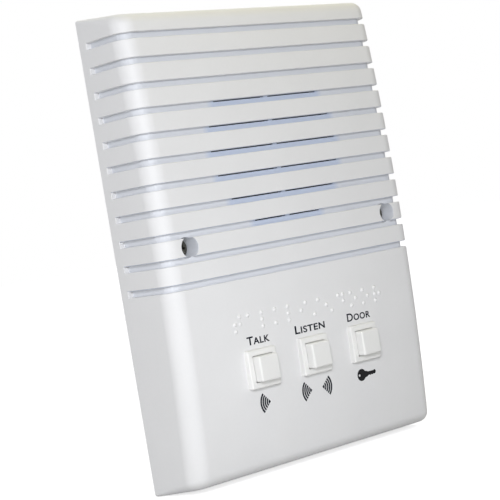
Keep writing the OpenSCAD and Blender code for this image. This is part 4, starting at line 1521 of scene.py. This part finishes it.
    def _spring(self, key: Key) -> None:
        """Models one return spring.

        Args:
            key: Its button.
        """
        x, z, wire = LAYOUT.button_x(key), LAYOUT.button_z, self.spring_wire
        start, end = self.boss_y + wire / 2, self.spring_end_y - wire / 2
        steps = self.spring_steps * self.spring_turns
        shape = bmesh.new()
        section = Matrix.Translation(metres(x + self.spring_d / 2, start, z))
        ring = bmesh.ops.create_circle(shape, cap_ends=False, segments=self.wire_sides,
                                       radius=wire / 2 * MM, matrix=section)["verts"]
        edges = Shaper.edges_at(ring)
        rise = metres(0.0, (end - start) / steps, 0.0)
        last = bmesh.ops.spin(shape, geom=ring + edges, cent=metres(x, 0.0, z), axis=(0.0, -1.0, 0.0),
                              dvec=rise, angle=math.tau * self.spring_turns, steps=steps)["geom_last"]
        for end_ring in (edges, only(last, BMEdge)):
            bmesh.ops.edgeloop_fill(shape, edges=end_ring)
        name = f"{key.value}_spring"
        spring = self.bench.piece(f"{name}_coil", shape, "spring_steel", stands_for=[name],
                                  slot="spring_steel", weighted=False)
        self.spring_keep
        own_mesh(spring)


@dataclass(frozen=True)
class Legend:
    """A printed word and where it stands."""

    key: Key
    left: float
    right: float


@dataclass
class Markings:
    """Printed words and signs, and the raised dots above them."""

    bench: Bench
    face_y: float = -BOW.depth
    ink: float = 0.03
    baseline: float = -36.45
    letter_h: float = 2.85
    small_share: float = 0.79
    weight: float = 0.02
    spacing: float = 1.07
    sign_z: float = -57.1
    fan_half: float = 45.0
    fan_bands: tuple[Flat, ...] = ((0.02, 1.1), (1.36, 2.0), (2.3, 2.95), (3.25, 3.9), (4.2, 4.9))
    talk_fans: tuple[Flat, ...] = ((-22.6, 180.0),)
    listen_fans: tuple[Flat, ...] = ((-2.5, 180.0), (2.6, 0.0))
    fan_steps: int = 14
    letter_steps: int = 6
    key_up: float = 0.45
    key_bow: Flat = (22.95, 2.2)
    key_hole: Flat = (21.85, 0.42)
    key_steps: int = 40
    key_blade: tuple[Flat, ...] = (
        (24.6, 1.15), (25.6, 1.05), (26.3, 0.7), (29.2, 0.65), (29.7, 0.92), (30.2, 0.7),
        (30.45, 0.15), (30.2, -0.4), (29.6, -0.72), (29.2, -0.52), (28.7, -0.8), (28.2, -0.58),
        (27.6, -0.84), (27.1, -0.62), (26.4, -0.7), (25.7, -1.1), (24.6, -1.25),
    )
    dot_pitch: float = 2.38
    cell_pitch: float = 6.3
    dot_d: float = 1.45
    dot_h: float = 0.5
    dot_root: float = 0.15
    dot_steps: int = 16
    dot_profile: tuple[Flat, ...] = ((0.0, 1.0), (0.3, 0.95), (0.58, 0.8), (0.82, 0.5), (0.97, 0.18),
                                     (1.12, 0.04), (1.3, -0.02))
    braille_up: float = 18.7
    braille_shift: float = 1.75
    legends: tuple[Legend, ...] = (
        Legend(Key.TALK, -29.9, -19.4),
        Legend(Key.LISTEN, -7.05, 7.7),
        Legend(Key.DOOR, 19.2, 31.2),
    )
    cells: dict[Key, tuple[tuple[int, ...], ...]] = field(default_factory=lambda: {
        Key.TALK: ((2, 3, 4, 5), (1,), (1, 2, 3), (1, 3)),
        Key.LISTEN: ((1, 2, 3), (2, 4), (3, 4), (2, 6)),
        Key.DOOR: ((1, 4, 5), (1, 3, 5), (1, 3, 5), (1, 2, 3, 5)),
    })

    def build(self) -> None:
        """Prints the words and signs and raises the dots."""
        for legend in self.legends:
            self._word(legend)
        self._fan("talk_sign", self.talk_fans)
        self._fan("listen_sign", self.listen_fans)
        self._key_sign()
        self._dots()

    def _printed(self, name: str, shape: BMesh, finish: str) -> None:
        """Gives flat faces the thickness of ink and makes them a piece.

        Args:
            name: Name of the piece.
            shape: Flat faces just in front of the cover.
            finish: Name of the ink.
        """
        bmesh.ops.remove_doubles(shape, verts=shape.verts[:], dist=Bench.MERGE)
        made = bmesh.ops.extrude_face_region(shape, geom=shape.faces[:])["geom"]
        bmesh.ops.translate(shape, verts=only(made, BMVert), vec=metres(0.0, 2 * self.ink, 0.0))
        BOW.bend(shape.verts)
        self.bench.piece(name, shape, finish, weighted=False)

    def _word(self, legend: Legend) -> None:
        """Prints one word, its first letter taller than the rest.

        Args:
            legend: The word's button and place.
        """
        curve = bpy.data.curves.new("word", "FONT")
        curve.body = legend.key.value.capitalize()
        curve.small_caps_scale = self.small_share
        curve.resolution_u = self.letter_steps
        curve.offset = self.weight
        curve.space_character = self.spacing
        for letter in curve.body_format[1:]:
            letter.use_small_caps = True
        holder = linked("word", curve)
        graph = bpy.context.evaluated_depsgraph_get()
        flat = bpy.data.meshes.new_from_object(holder.evaluated_get(graph))
        bpy.data.objects.remove(holder)
        shape = bmesh.new()
        shape.from_mesh(flat)
        low = [min(vertex.co[axis] for vertex in shape.verts) for axis in (0, 1)]
        high = [max(vertex.co[axis] for vertex in shape.verts) for axis in (0, 1)]
        wide = (legend.right - legend.left) / (high[0] - low[0]) * MM
        tall = self.letter_h / high[1] * MM
        place = (Matrix.Translation(metres(legend.left, self.face_y - self.ink, self.baseline))
                 @ Matrix.Rotation(math.radians(90.0), 4, "X") @ Matrix.Diagonal((wide, tall, 1.0, 1.0))
                 @ Matrix.Translation((-low[0], 0.0, 0.0)))
        bmesh.ops.transform(shape, matrix=place, verts=shape.verts[:])
        self._printed(f"{legend.key.value}_word", shape, "legend_ink")

    def _fan(self, name: str, places: Sequence[Flat]) -> None:
        """Prints fans of sound waves, each with its point at a place.

        Args:
            name: Name of the piece.
            places: x of each fan's point and the way it opens, in degrees.
        """
        shape = bmesh.new()
        for x, towards in places:
            centre = metres(x, self.face_y - self.ink, self.sign_z)
            first = math.radians(towards - self.fan_half)
            ray = Vector((math.cos(first), 0.0, math.sin(first)))
            for band in self.fan_bands:
                ends = [shape.verts.new(centre + ray * radius * MM) for radius in band]
                edge = shape.edges.new(ends)
                bmesh.ops.spin(shape, geom=[*ends, edge], cent=centre, axis=(0.0, -1.0, 0.0),
                               angle=math.radians(2 * self.fan_half), steps=self.fan_steps)
        self._printed(name, shape, "legend_ink")

    def _key_sign(self) -> None:
        """Prints a plain key below the door button."""
        y, z = self.face_y - self.ink, self.sign_z + self.key_up
        shape = bmesh.new()
        edges = []
        for x, radius in (self.key_bow, self.key_hole):
            edges += Shaper.ring(shape, (x, y, z), radius, self.key_steps)
        bmesh.ops.bridge_loops(shape, edges=edges)
        self._printed("door_sign_bow", shape, "mark_ink")
        outline = bmesh.new()
        outline.faces.new([outline.verts.new(metres(x, y, z + up)) for x, up in self.key_blade])
        self._printed("door_sign_blade", outline, "mark_ink")

    def _dots(self) -> None:
        """Raises the Braille dots of the three words."""
        half, root = self.dot_d / 2, self.face_y + self.dot_root
        outline = [(half * share, self.face_y - self.dot_h * rise) for share, rise in self.dot_profile]
        outline += [(outline[-1][0], root), (0.0, root)]
        shape = bmesh.new()
        for key, word in self.cells.items():
            span = (len(word) - 1) * self.cell_pitch + self.dot_pitch
            left = LAYOUT.button_x(key) + self.braille_shift - span / 2
            for place, cell in enumerate(word):
                for dot in cell:
                    column, row = divmod(dot - 1, 3)
                    x = left + place * self.cell_pitch + column * self.dot_pitch
                    z = LAYOUT.button_z + self.braille_up - row * self.dot_pitch
                    Shaper.turned(shape, outline, x, z, self.dot_steps)
        BOW.bend(shape.verts)
        self.bench.piece("braille_dots", shape, "cover_plastic", slot="cover_plastic", weighted=False)


@dataclass(frozen=True)
class ScrewKind:
    """Sizes of one kind of cross-recessed pan-head screw."""

    name: str
    node: str
    finish: str
    thread_d: float
    head_d: float
    head_h: float
    head_y: float
    tip_y: float
    places: tuple[Flat, ...]


@dataclass
class Screws:
    """Every screw of the station, in groups of the same kind."""

    bench: Bench
    kinds: tuple[ScrewKind, ...] = (
        ScrewKind("cover_screw_pair", "cover_screws", "screw_steel", 3.5, 6.4, 2.2, -22.3, -0.3,
                  LAYOUT.cover_screws),
        ScrewKind("board_screw_set", "board_screws", "zinc_steel", 2.6, 5.0, 1.8, -7.7, -17.1,
                  LAYOUT.board_posts),
        ScrewKind("clip_screw_set", "clip_screws", "zinc_steel", 2.6, 5.0, 1.8, -15.37, -19.97,
                  LAYOUT.clip_posts),
    )
    crown: tuple[Flat, ...] = ((0.0, 0.0), (0.4, 0.02), (0.62, 0.08), (0.8, 0.2), (0.92, 0.38),
                               (0.985, 0.6), (1.0, 0.75), (1.0, 0.97), (0.97, 1.0))
    round_steps: int = 40
    tip_len: float = 0.8
    tip_share: float = 0.6
    arm_turn: float = 8.0
    arm_length: float = 0.3
    arm_width: float = 0.085
    arm_depth: float = 0.62
    arm_taper: Flat = (0.5, 0.6)

    def build(self) -> None:
        """Models each kind as one piece."""
        for kind in self.kinds:
            self._group(kind)

    def _group(self, kind: ScrewKind) -> None:
        """Models all the screws of one kind.

        Args:
            kind: Their sizes and places.
        """
        joined = bmesh.new()
        for x, z in kind.places:
            joined.from_mesh(self._screw(kind, x, z))
        self.bench.piece(kind.name, joined, kind.finish, stands_for=[kind.node], slot=kind.finish)

    def _screw(self, kind: ScrewKind, x: float, z: float) -> Mesh:
        """Models one screw with the cross-shaped hollow in its head.

        Args:
            kind: Its sizes.
            x: Place across the cover.
            z: Height.

        Returns:
            The screw's mesh.
        """
        way = 1.0 if kind.tip_y > kind.head_y else -1.0
        half, deep, shank = kind.head_d / 2, kind.head_h, kind.thread_d / 2
        outline = [(half * share, kind.head_y + way * deep * fall) for share, fall in self.crown]
        outline += [(shank, kind.head_y + way * deep), (shank, kind.tip_y - way * self.tip_len),
                    (shank * self.tip_share, kind.tip_y), (0.0, kind.tip_y)]
        shape = bmesh.new()
        Shaper.turned(shape, outline, x, z, self.round_steps)
        steps = [("DIFFERENCE", self._recess_blade(kind, x, z, way, turn))
                 for turn in (self.arm_turn, self.arm_turn + 90.0)]
        return self.bench.cut("screw", self.bench.mesh_of("screw", shape), steps)

    def _recess_blade(self, kind: ScrewKind, x: float, z: float, way: float, turn: float) -> Mesh:
        """Tapered blade that cuts one arm pair of the cross-shaped hollow.

        Args:
            kind: Sizes of the screw.
            x: Place across the cover.
            z: Height.
            way: 1 where the screw points to the wall, -1 where it points to the front.
            turn: Turn of the blade about the screw, in degrees.

        Returns:
            The closed mesh.
        """
        shape = bmesh.new()
        long, thick = kind.head_d * self.arm_length, kind.head_d * self.arm_width
        Shaper.block(shape, (-long, -1.0, -thick), (long, kind.head_h * self.arm_depth, thick))
        for vertex in shape.verts:
            if vertex.co.y > 0:
                vertex.co.x *= self.arm_taper[0]
                vertex.co.z *= self.arm_taper[1]
        facing = Matrix.Scale(way, 4, (0.0, 1.0, 0.0)) @ Matrix.Rotation(math.radians(turn), 4, "Y")
        place = Matrix.Translation(metres(x, kind.head_y, z)) @ facing
        bmesh.ops.transform(shape, matrix=place, verts=shape.verts[:])
        return self.bench.mesh_of("blade", shape)


@dataclass
class Loudspeaker:
    """The loudspeaker's paper cone, the cloth in front of it and its two wires."""

    bench: Bench
    rim_r: float = 33.0
    rim_t: float = 0.3
    rim_fold: float = 0.4
    edge_r: float = 28.8
    neck_r: float = 7.65
    paper: float = 0.45
    ripple_r: float = 25.0
    ripple: float = 0.35
    ripple_pitch: float = 1.25
    cone_steps: int = 64
    round_steps: int = 96
    cloth_rings: int = 8
    wire_x: float = 3.5
    wire_d: float = 1.6
    wire_bend: float = 2.4
    joint_share: Point = (1.2, 0.8, 1.2)
    joint_sides: int = 20
    joint_rings: int = 12

    def build(self) -> None:
        """Models the cone, the cloth and the wires."""
        self._cone()
        self._cloth()
        self._wire("wire_red", -1)
        self._wire("wire_black", 1)
        self._wire_joints()

    def _cone_y(self, radius: float, front: float, neck: float) -> float:
        """Front of the paper at one radius, with ripples along its edge."""
        share = (self.edge_r - radius) / (self.edge_r - self.neck_r)
        swing = 0.0
        if radius > self.ripple_r:
            swing = self.ripple * (1.0 - math.cos(math.tau * (self.edge_r - radius) / self.ripple_pitch)) / 2
        return front + share * (neck - self.paper - front) + swing

    def _cone(self) -> None:
        """Models the paper cone."""
        low, high = node_box("speaker_cone")
        front, neck = low[1], high[1]
        step_r = (self.neck_r - self.edge_r) / self.cone_steps
        radii = [self.edge_r + step_r * step for step in range(self.cone_steps + 1)]
        skin = [(radius, self._cone_y(radius, front, neck)) for radius in radii]
        behind = [(radius, y + self.paper) for radius, y in reversed(skin[1:])]
        outline = [(self.rim_r, front), *skin, *behind, (self.edge_r - self.rim_fold, front + self.rim_t),
                   (self.rim_r, front + self.rim_t), (self.rim_r, front)]
        shape = bmesh.new()
        Shaper.turned(shape, outline, 0.0, LAYOUT.speaker_z, self.round_steps)
        self.bench.piece("cone", shape, "cone_paper", stands_for=["speaker_cone"], slot="cone_paper",
                         weighted=False)

    def _cloth(self) -> None:
        """Models the thin cloth behind the sound slots."""
        low, high = node_box("dust_cloth")
        radius = (high[0] - low[0]) / 2
        shape = bmesh.new()
        rings = [radius * step / self.cloth_rings for step in range(self.cloth_rings + 1)]
        outline = [(ring, low[1]) for ring in rings] + [(ring, high[1]) for ring in reversed(rings)]
        Shaper.turned(shape, outline, 0.0, LAYOUT.speaker_z, self.round_steps)
        cloth = self.bench.piece("cloth", shape, "black_cloth", stands_for=["dust_cloth"],
                                 slot="black_cloth", weighted=False)

    def _wire_ends(self) -> tuple[Flat, Flat]:
        """y and z of a wire's end at its tag and of its end at the board."""
        low, high = node_box("speaker_wires")
        radius = self.wire_d / 2
        tag_y = node_box("speaker_tags")[1][1]
        board_y = node_box("circuit_board")[1][1]
        return (tag_y, high[2] - radius), (board_y, low[2] + radius)

    def _wire(self, name: str, side: int) -> None:
        """Models one wire, from its tag over the top of the board to its back.

        Args:
            name: Name of the piece and of its finish.
            side: -1 on the left, 1 on the right.
        """
        radius, bend, x = self.wire_d / 2, self.wire_bend, side * self.wire_x
        (tag_y, top), (board_y, end) = self._wire_ends()
        turn_y = node_box("speaker_wires")[1][1] - radius - bend
        shape = bmesh.new()
        start = Shaper.ring(shape, (x, tag_y, top), radius)
        ring = Shaper.push(shape, start, (0.0, turn_y - tag_y, 0.0))
        ring = Shaper.turn(shape, ring, (x, turn_y, top - bend), -90.0)
        ring = Shaper.push(shape, ring, (0.0, 0.0, end - top + 2 * bend))
        ring = Shaper.turn(shape, ring, (x, turn_y, end + bend), -90.0)
        ring = Shaper.push(shape, ring, (0.0, board_y - turn_y, 0.0))
        for edges in (start, ring):
            bmesh.ops.edgeloop_fill(shape, edges=edges)
        self.bench.piece(name, shape, name, stands_for=["speaker_wires"], slot="wire_insulation",
                         weighted=False)

    def _wire_joints(self) -> None:
        """Models the solder on both ends of both wires."""
        swell = Matrix.Diagonal((*self.joint_share, 1.0))
        shape = bmesh.new()
        for side in (-1, 1):
            for y, z in self._wire_ends():
                place = Matrix.Translation(metres(side * self.wire_x, y, z)) @ swell
                bmesh.ops.create_uvsphere(shape, u_segments=self.joint_sides, v_segments=self.joint_rings,
                                          radius=self.wire_d / 2 * MM, matrix=place)
        self.bench.piece("wire_joints", shape, "solder", slot="solder", weighted=False)


@dataclass
class BoardDetail:
    """Tracks, pads and small parts on the back of the circuit board."""

    bench: Bench
    track_w: float = 0.9
    track_t: float = 0.04
    pad_r: float = 1.4
    pad_t: float = 0.06
    pad_soft: Flat = (0.1, 0.024)
    pad_steps: int = 24
    pin_x: float = 12.7 / 3
    pin_z: float = 5.15
    capacitor: Flat = (26.0, -65.9)
    can_steps: int = 48
    sleeve_base: tuple[Flat, ...] = ((0.3, 0.0), (0.0, 0.3), (0.0, 1.2), (0.33, 1.45), (0.33, 1.75),
                                     (0.0, 2.0))
    sleeve_end: tuple[Flat, ...] = ((0.0, 0.45), (0.15, 0.12), (0.5, 0.0), (0.85, 0.05), (0.95, 0.2))
    can_end: tuple[Flat, ...] = ((0.9, 0.4), (0.9, 0.14), (1.05, 0.1))
    resistor_x: float = -26.0
    resistor_rows: tuple[float, ...] = (-70.9, -65.9, -60.9)
    lead_x: float = 5.4
    bands: tuple[tuple[str, tuple[float, ...]], ...] = (("band_brown", (0.26, 0.44)), ("band_gold", (0.7,)))
    band_steps: int = 32
    band_w: float = 0.6
    bulge: float = 0.28
    bulge_fit: float = 1.01
    waist_fit: float = 0.86
    tracks: tuple[tuple[Flat, ...], ...] = (
        ((-25.2, -50.05), (-25.2, -54.0), (25.2, -54.0), (25.2, -50.05)),
        ((0.0, -50.05), (0.0, -54.0)),
        ((-25.2, -39.75), (-25.2, -37.6), (-13.2, -37.6), (-13.2, -34.0)),
        ((0.0, -39.75), (0.0, -34.0)),
        ((25.2, -39.75), (25.2, -37.6), (13.2, -37.6), (13.2, -34.0)),
        ((-20.6, -60.9), (-12.0, -60.9), (-12.0, -54.0)),
        ((-20.6, -65.9), (22.0, -65.9)),
        ((-20.6, -70.9), (30.0, -70.9), (30.0, -66.0)),
        ((-31.4, -60.9), (-36.0, -60.9), (-36.0, -31.4), (-17.0, -31.4)),
        ((-31.4, -65.9), (-38.0, -65.9), (-38.0, -28.6), (-17.0, -28.6)),
        ((-31.4, -70.9), (-40.0, -70.9), (-40.0, -25.8), (-10.0, -25.8), (-10.0, -28.0)),
        ((-3.5, -23.4), (-3.5, -25.4), (-6.6, -25.4), (-6.6, -28.0)),
        ((3.5, -23.4), (3.5, -25.4), (6.6, -25.4), (6.6, -28.0)),
    )

    @property
    def back_y(self) -> float:
        """Back face of the board."""
        return node_box("circuit_board")[1][1]

    def build(self) -> None:
        """Adds the tracks, the pads, the capacitor and the resistors' bands."""
        self._tracks()
        self._pads()
        self._capacitor()
        for finish, shares in self.bands:
            self._bands(finish, shares)

    def _tracks(self) -> None:
        """Raises the tracks that show through the green coat."""
        half, y = self.track_w / 2, self.back_y
        shape = bmesh.new()
        for line in self.tracks:
            for (x0, z0), (x1, z1) in zip(line, line[1:]):
                Shaper.block(shape, (min(x0, x1) - half, y - self.track_t, min(z0, z1) - half),
                             (max(x0, x1) + half, y + self.track_t, max(z0, z1) + half))
        self.bench.piece("board_tracks", shape, "board_track", slot="board_laminate", weighted=False)

    def _pad_places(self) -> list[Flat]:
        """Places of the soldered pads."""
        places = [(LAYOUT.button_x(key) + column * self.pin_x, LAYOUT.button_z + side * self.pin_z)
                  for key in Key for column in (-1, 0, 1) for side in (-1, 1)]
        places += [(self.resistor_x + side * self.lead_x, z) for z in self.resistor_rows for side in (-1, 1)]
        return places

    def _pads(self) -> None:
        """Adds a tinned ring round each soldered tail."""
        low, high, radius = self.back_y - self.pad_t, self.back_y + self.pad_t, self.pad_r
        outline = [(0.0, low), (radius, low), (radius, high - self.pad_soft[1]),
                   (radius - self.pad_soft[0], high), (0.0, high)]
        shape = bmesh.new()
        for x, z in self._pad_places():
            Shaper.turned(shape, outline, x, z, self.pad_steps)
        self.bench.piece("board_pads", shape, "solder", slot="solder", weighted=False)

    def _capacitor(self) -> None:
        """Models the capacitor: a shrunk sleeve round a can whose end shows."""
        low, high = node_box("capacitor")
        radius = (high[0] - low[0]) / 2
        base, end = low[1], high[1]
        sleeve = [(0.0, base), *[(radius - inset, base + rise) for inset, rise in self.sleeve_base],
                  *[(radius - inset, end - drop) for inset, drop in self.sleeve_end]]
        sleeve.append((0.0, sleeve[-1][1]))
        can = [(radius - inset, end - drop) for inset, drop in self.can_end]
        can = [(0.0, can[0][1]), *can, (0.0, can[-1][1])]
        for name, outline, finish in (("capacitor_can", sleeve, "capacitor_sleeve"),
                                      ("capacitor_end", can, "zinc_steel")):
            shape = bmesh.new()
            Shaper.turned(shape, outline, *self.capacitor, self.can_steps)
            self.bench.piece(name, shape, finish, stands_for=["capacitor"], slot="capacitor_sleeve")

    def _bands(self, finish: str, shares: Sequence[float]) -> None:
        """Paints bands of one colour on the three resistors.

        Args:
            finish: Name of the paint, and of the piece.
            shares: Place of each band as a share of the body's length.
        """
        low, high = node_box("resistors")
        length, body_r = high[0] - low[0], (high[1] - low[1]) / 2
        along = Matrix.Rotation(math.radians(90.0), 4, "Y")
        shape = bmesh.new()
        for z in self.resistor_rows:
            for share in shares:
                fit = self.bulge_fit if min(share, 1.0 - share) < self.bulge else self.waist_fit
                place = Matrix.Translation(metres(low[0] + share * length, low[1] + body_r, z))
                bmesh.ops.create_cone(shape, cap_ends=True, cap_tris=False, segments=self.band_steps,
                                      radius1=body_r * fit * MM, radius2=body_r * fit * MM,
                                      depth=self.band_w * MM, matrix=place @ along)
        self.bench.piece(finish, shape, finish, slot="resistor_body")


@dataclass
class Hardware:
    """Pieces that keep the CAD's own shape, with their sharp edges broken."""

    bench: Bench
    slots: dict[str, str]
    widths: dict[str, float] = field(default_factory=lambda: {
        "mounting_plate": 0.2, "plate_nuts": 0.3, "circuit_board": 0.1, "terminal_block": 0.25,
        "terminal_screws": 0.12, "speaker_basket": 0.15, "speaker_gasket": 0.2, "pole_plate": 0.25,
        "speaker_magnet": 0.4, "speaker_yoke": 0.3, "terminal_strip": 0.12, "speaker_tags": 0.06,
        "speaker_clips": 0.12, "resistors": 0.2,
    })
    switch_edge: float = 0.25
    plunger_edge: float = 0.15

    def build(self) -> None:
        """Softens every listed piece."""
        for node, width in self.widths.items():
            self.bench.softened(node, self.slots[node], width)
        for key in Key:
            switch, plunger = f"{key.value}_switch", f"{key.value}_plunger"
            self.bench.softened(switch, self.slots[switch], self.switch_edge)
            self.bench.softened(plunger, self.slots[plunger], self.plunger_edge, f"{key.value}_key")


@dataclass(frozen=True)
class Viewpoint:
    """The photograph's camera."""

    place: Point = (-384.609, -436.7, 6.509)
    heading: float = 41.4856
    tilt: float = -1.1378
    roll: float = -9.5246
    lens: float = 114.461
    sensor: float = 36.0

    def build(self) -> None:
        """Makes the camera and gives it to the scene."""
        heading, tilt = math.radians(self.heading), math.radians(self.tilt)
        forward = Vector((math.sin(heading) * math.cos(tilt), math.cos(heading) * math.cos(tilt),
                          math.sin(tilt)))
        level = forward.to_track_quat("-Z", "Y").to_matrix().to_4x4()
        turn = Matrix.Rotation(math.radians(self.roll), 4, "Z")
        data = bpy.data.cameras.new("photo_view")
        data.lens = self.lens
        data.sensor_width = self.sensor
        data.sensor_fit = "HORIZONTAL"
        data.clip_start = 0.01
        camera = linked("photo_view", data)
        camera.matrix_world = Matrix.Translation(metres(*self.place)) @ level @ turn
        bpy.context.scene.camera = camera


@dataclass(frozen=True)
class Lamp:
    """A distant soft lamp, named by where it stands as seen from the station."""

    name: str
    bearing: float
    height: float
    spread: float
    level: float
    colour: Colour

    def build(self) -> None:
        """Makes the lamp."""
        data = bpy.data.lights.new(self.name, "SUN")
        data.angle = math.radians(self.spread)
        data.energy = self.level * math.pi
        data.color = self.colour
        lamp = linked(self.name, data)
        bearing, height = math.radians(self.bearing), math.radians(self.height)
        towards = Vector((math.sin(bearing) * math.cos(height), -math.cos(bearing) * math.cos(height),
                          math.sin(height)))
        lamp.matrix_world = Matrix.Translation(towards) @ towards.to_track_quat("Z", "Y").to_matrix().to_4x4()


@dataclass(frozen=True)
class NearLamp:
    """A square soft lamp that stands near the station and faces it."""

    name: str
    place: Point
    size: float
    power: float
    colour: Colour

    def build(self) -> None:
        """Makes the lamp."""
        data = bpy.data.lights.new(self.name, "AREA")
        data.shape = "SQUARE"
        data.size = self.size * MM
        data.energy = self.power
        data.color = self.colour
        lamp = linked(self.name, data)
        place = metres(*self.place)
        lamp.matrix_world = Matrix.Translation(place) @ place.to_track_quat("Z", "Y").to_matrix().to_4x4()


@dataclass
class Studio:
    """Floor, surrounding light, lamps and camera."""

    floor_z: float = -82.4
    floor_gap: float = 0.05
    floor_size: float = 8000.0
    floor_tone: Colour = (0.45, 0.45, 0.45)
    floor_seen_tone: Colour = (0.95, 0.95, 0.95)
    floor_glow: float = 0.7
    world_colour: Colour = (0.985, 0.99, 1.0)
    world_strength: float = 0.335
    lamps: tuple[Lamp | NearLamp, ...] = (
        NearLamp("window", (-394.0, -453.0, 150.0), 140.0, 1.9, (0.97, 0.98, 1.0)),
        NearLamp("overhead", (40.0, -60.0, 230.0), 120.0, 0.066, (1.0, 0.87, 0.2)),
        NearLamp("low", (-40.0, -165.0, -58.0), 40.0, 0.039, (0.97, 0.98, 1.0)),
        NearLamp("side", (-260.0, -50.0, -48.0), 60.0, 0.064, (1.0, 0.995, 0.98)),
        Lamp("back_fill", 150.0, 35.0, 60.0, 0.25, (1.0, 1.0, 1.0)),
    )

    def build(self) -> None:
        """Makes the stage around the station."""
        bpy.context.scene.view_settings.view_transform = "Standard"
        self._world()
        self._floor()
        for lamp in self.lamps:
            lamp.build()
        Viewpoint().build()

    @staticmethod
    def _seen(tree: NodeTree) -> NodeSocket:
        """Mask of the rays that show the background itself.

        Args:
            tree: Nodes to add to.

        Returns:
            1 for camera, glossy and transmitted rays, and 0 for others.
        """
        path = tree.nodes.new("ShaderNodeLightPath")
        mask = path.outputs["Is Camera Ray"]
        for name in ("Is Glossy Ray", "Is Transmission Ray"):
            either = tree.nodes.new("ShaderNodeMath")
            either.operation = "MAXIMUM"
            tree.links.new(mask, either.inputs[0])
            tree.links.new(path.outputs[name], either.inputs[1])
            mask = either.outputs[0]
        return mask

    def _world(self) -> None:
        """Soft light all round, white where it shows."""
        world = bpy.data.worlds.new("studio")
        bpy.context.scene.world = world
        world.use_nodes = True
        tree = world.node_tree
        light = tree.nodes["Background"]
        light.inputs["Color"].default_value = (*self.world_colour, 1.0)
        light.inputs["Strength"].default_value = self.world_strength
        white = tree.nodes.new("ShaderNodeBackground")
        white.inputs["Color"].default_value = (1.0, 1.0, 1.0, 1.0)
        white.inputs["Strength"].default_value = 1.0
        mix = tree.nodes.new("ShaderNodeMixShader")
        tree.links.new(self._seen(tree), mix.inputs["Fac"])
        tree.links.new(light.outputs[0], mix.inputs[1])
        tree.links.new(white.outputs[0], mix.inputs[2])
        tree.links.new(mix.outputs[0], tree.nodes["World Output"].inputs["Surface"])

    def _floor(self) -> None:
        """Wide white floor that takes the station's shadow."""
        shape = bmesh.new()
        bmesh.ops.create_grid(shape, x_segments=1, y_segments=1, size=self.floor_size / 2 * MM,
                              matrix=Matrix.Translation(metres(0.0, 0.0, self.floor_z - self.floor_gap)))
        mesh = bpy.data.meshes.new("floor")
        shape.to_mesh(mesh)
        shape.free()
        floor = linked("floor", mesh)
        material = bpy.data.materials.new("floor_white")
        material.use_nodes = True
        tree = material.node_tree
        tree.nodes.remove(tree.nodes["Principled BSDF"])
        pale = tree.nodes.new("ShaderNodeBsdfDiffuse")
        pale.inputs["Color"].default_value = (*self.floor_tone, 1.0)
        white = tree.nodes.new("ShaderNodeBsdfDiffuse")
        white.inputs["Color"].default_value = (*self.floor_seen_tone, 1.0)
        glow = tree.nodes.new("ShaderNodeEmission")
        glow.inputs["Strength"].default_value = self.floor_glow
        both = tree.nodes.new("ShaderNodeAddShader")
        tree.links.new(white.outputs[0], both.inputs[0])
        tree.links.new(glow.outputs[0], both.inputs[1])
        mix = tree.nodes.new("ShaderNodeMixShader")
        tree.links.new(self._seen(tree), mix.inputs["Fac"])
        tree.links.new(pale.outputs[0], mix.inputs[1])
        tree.links.new(both.outputs[0], mix.inputs[2])
        tree.links.new(mix.outputs[0], tree.nodes["Material Output"].inputs["Surface"])
        mesh.materials.append(material)


def dress_nodes(frame: dict, finishes: Finishes) -> dict[str, str]:
    """Gives every CAD node the finish of its material slot.

    Args:
        finishes: The finishes.

    Returns:
        The material slot of each node.
    """
    slots = {part["node"]: part["material_slot"] for part in frame["record"]["subparts"]}
    for name, node in frame["nodes"].items():
        node.data.materials.clear()
        node.data.materials.append(finishes[slots[name]])
    LOG.info("dressed %d nodes", len(frame["nodes"]))
    return slots


def main() -> None:
    """Builds the station and its stage."""
    logging.basicConfig(level=logging.INFO, format="%(name)s: %(message)s")
    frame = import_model()
    Studio().build()
    finishes = Finishes()
    bench = Bench(finishes, frame)
    slots = dress_nodes(frame, finishes)
    Cover(bench).build()
    CoverPosts(bench).build()
    Pushbuttons(bench).build()
    Markings(bench).build()
    Screws(bench).build()
    Loudspeaker(bench).build()
    BoardDetail(bench).build()
    Hardware(bench, slots).build()


if __name__ == "__main__":
    main()
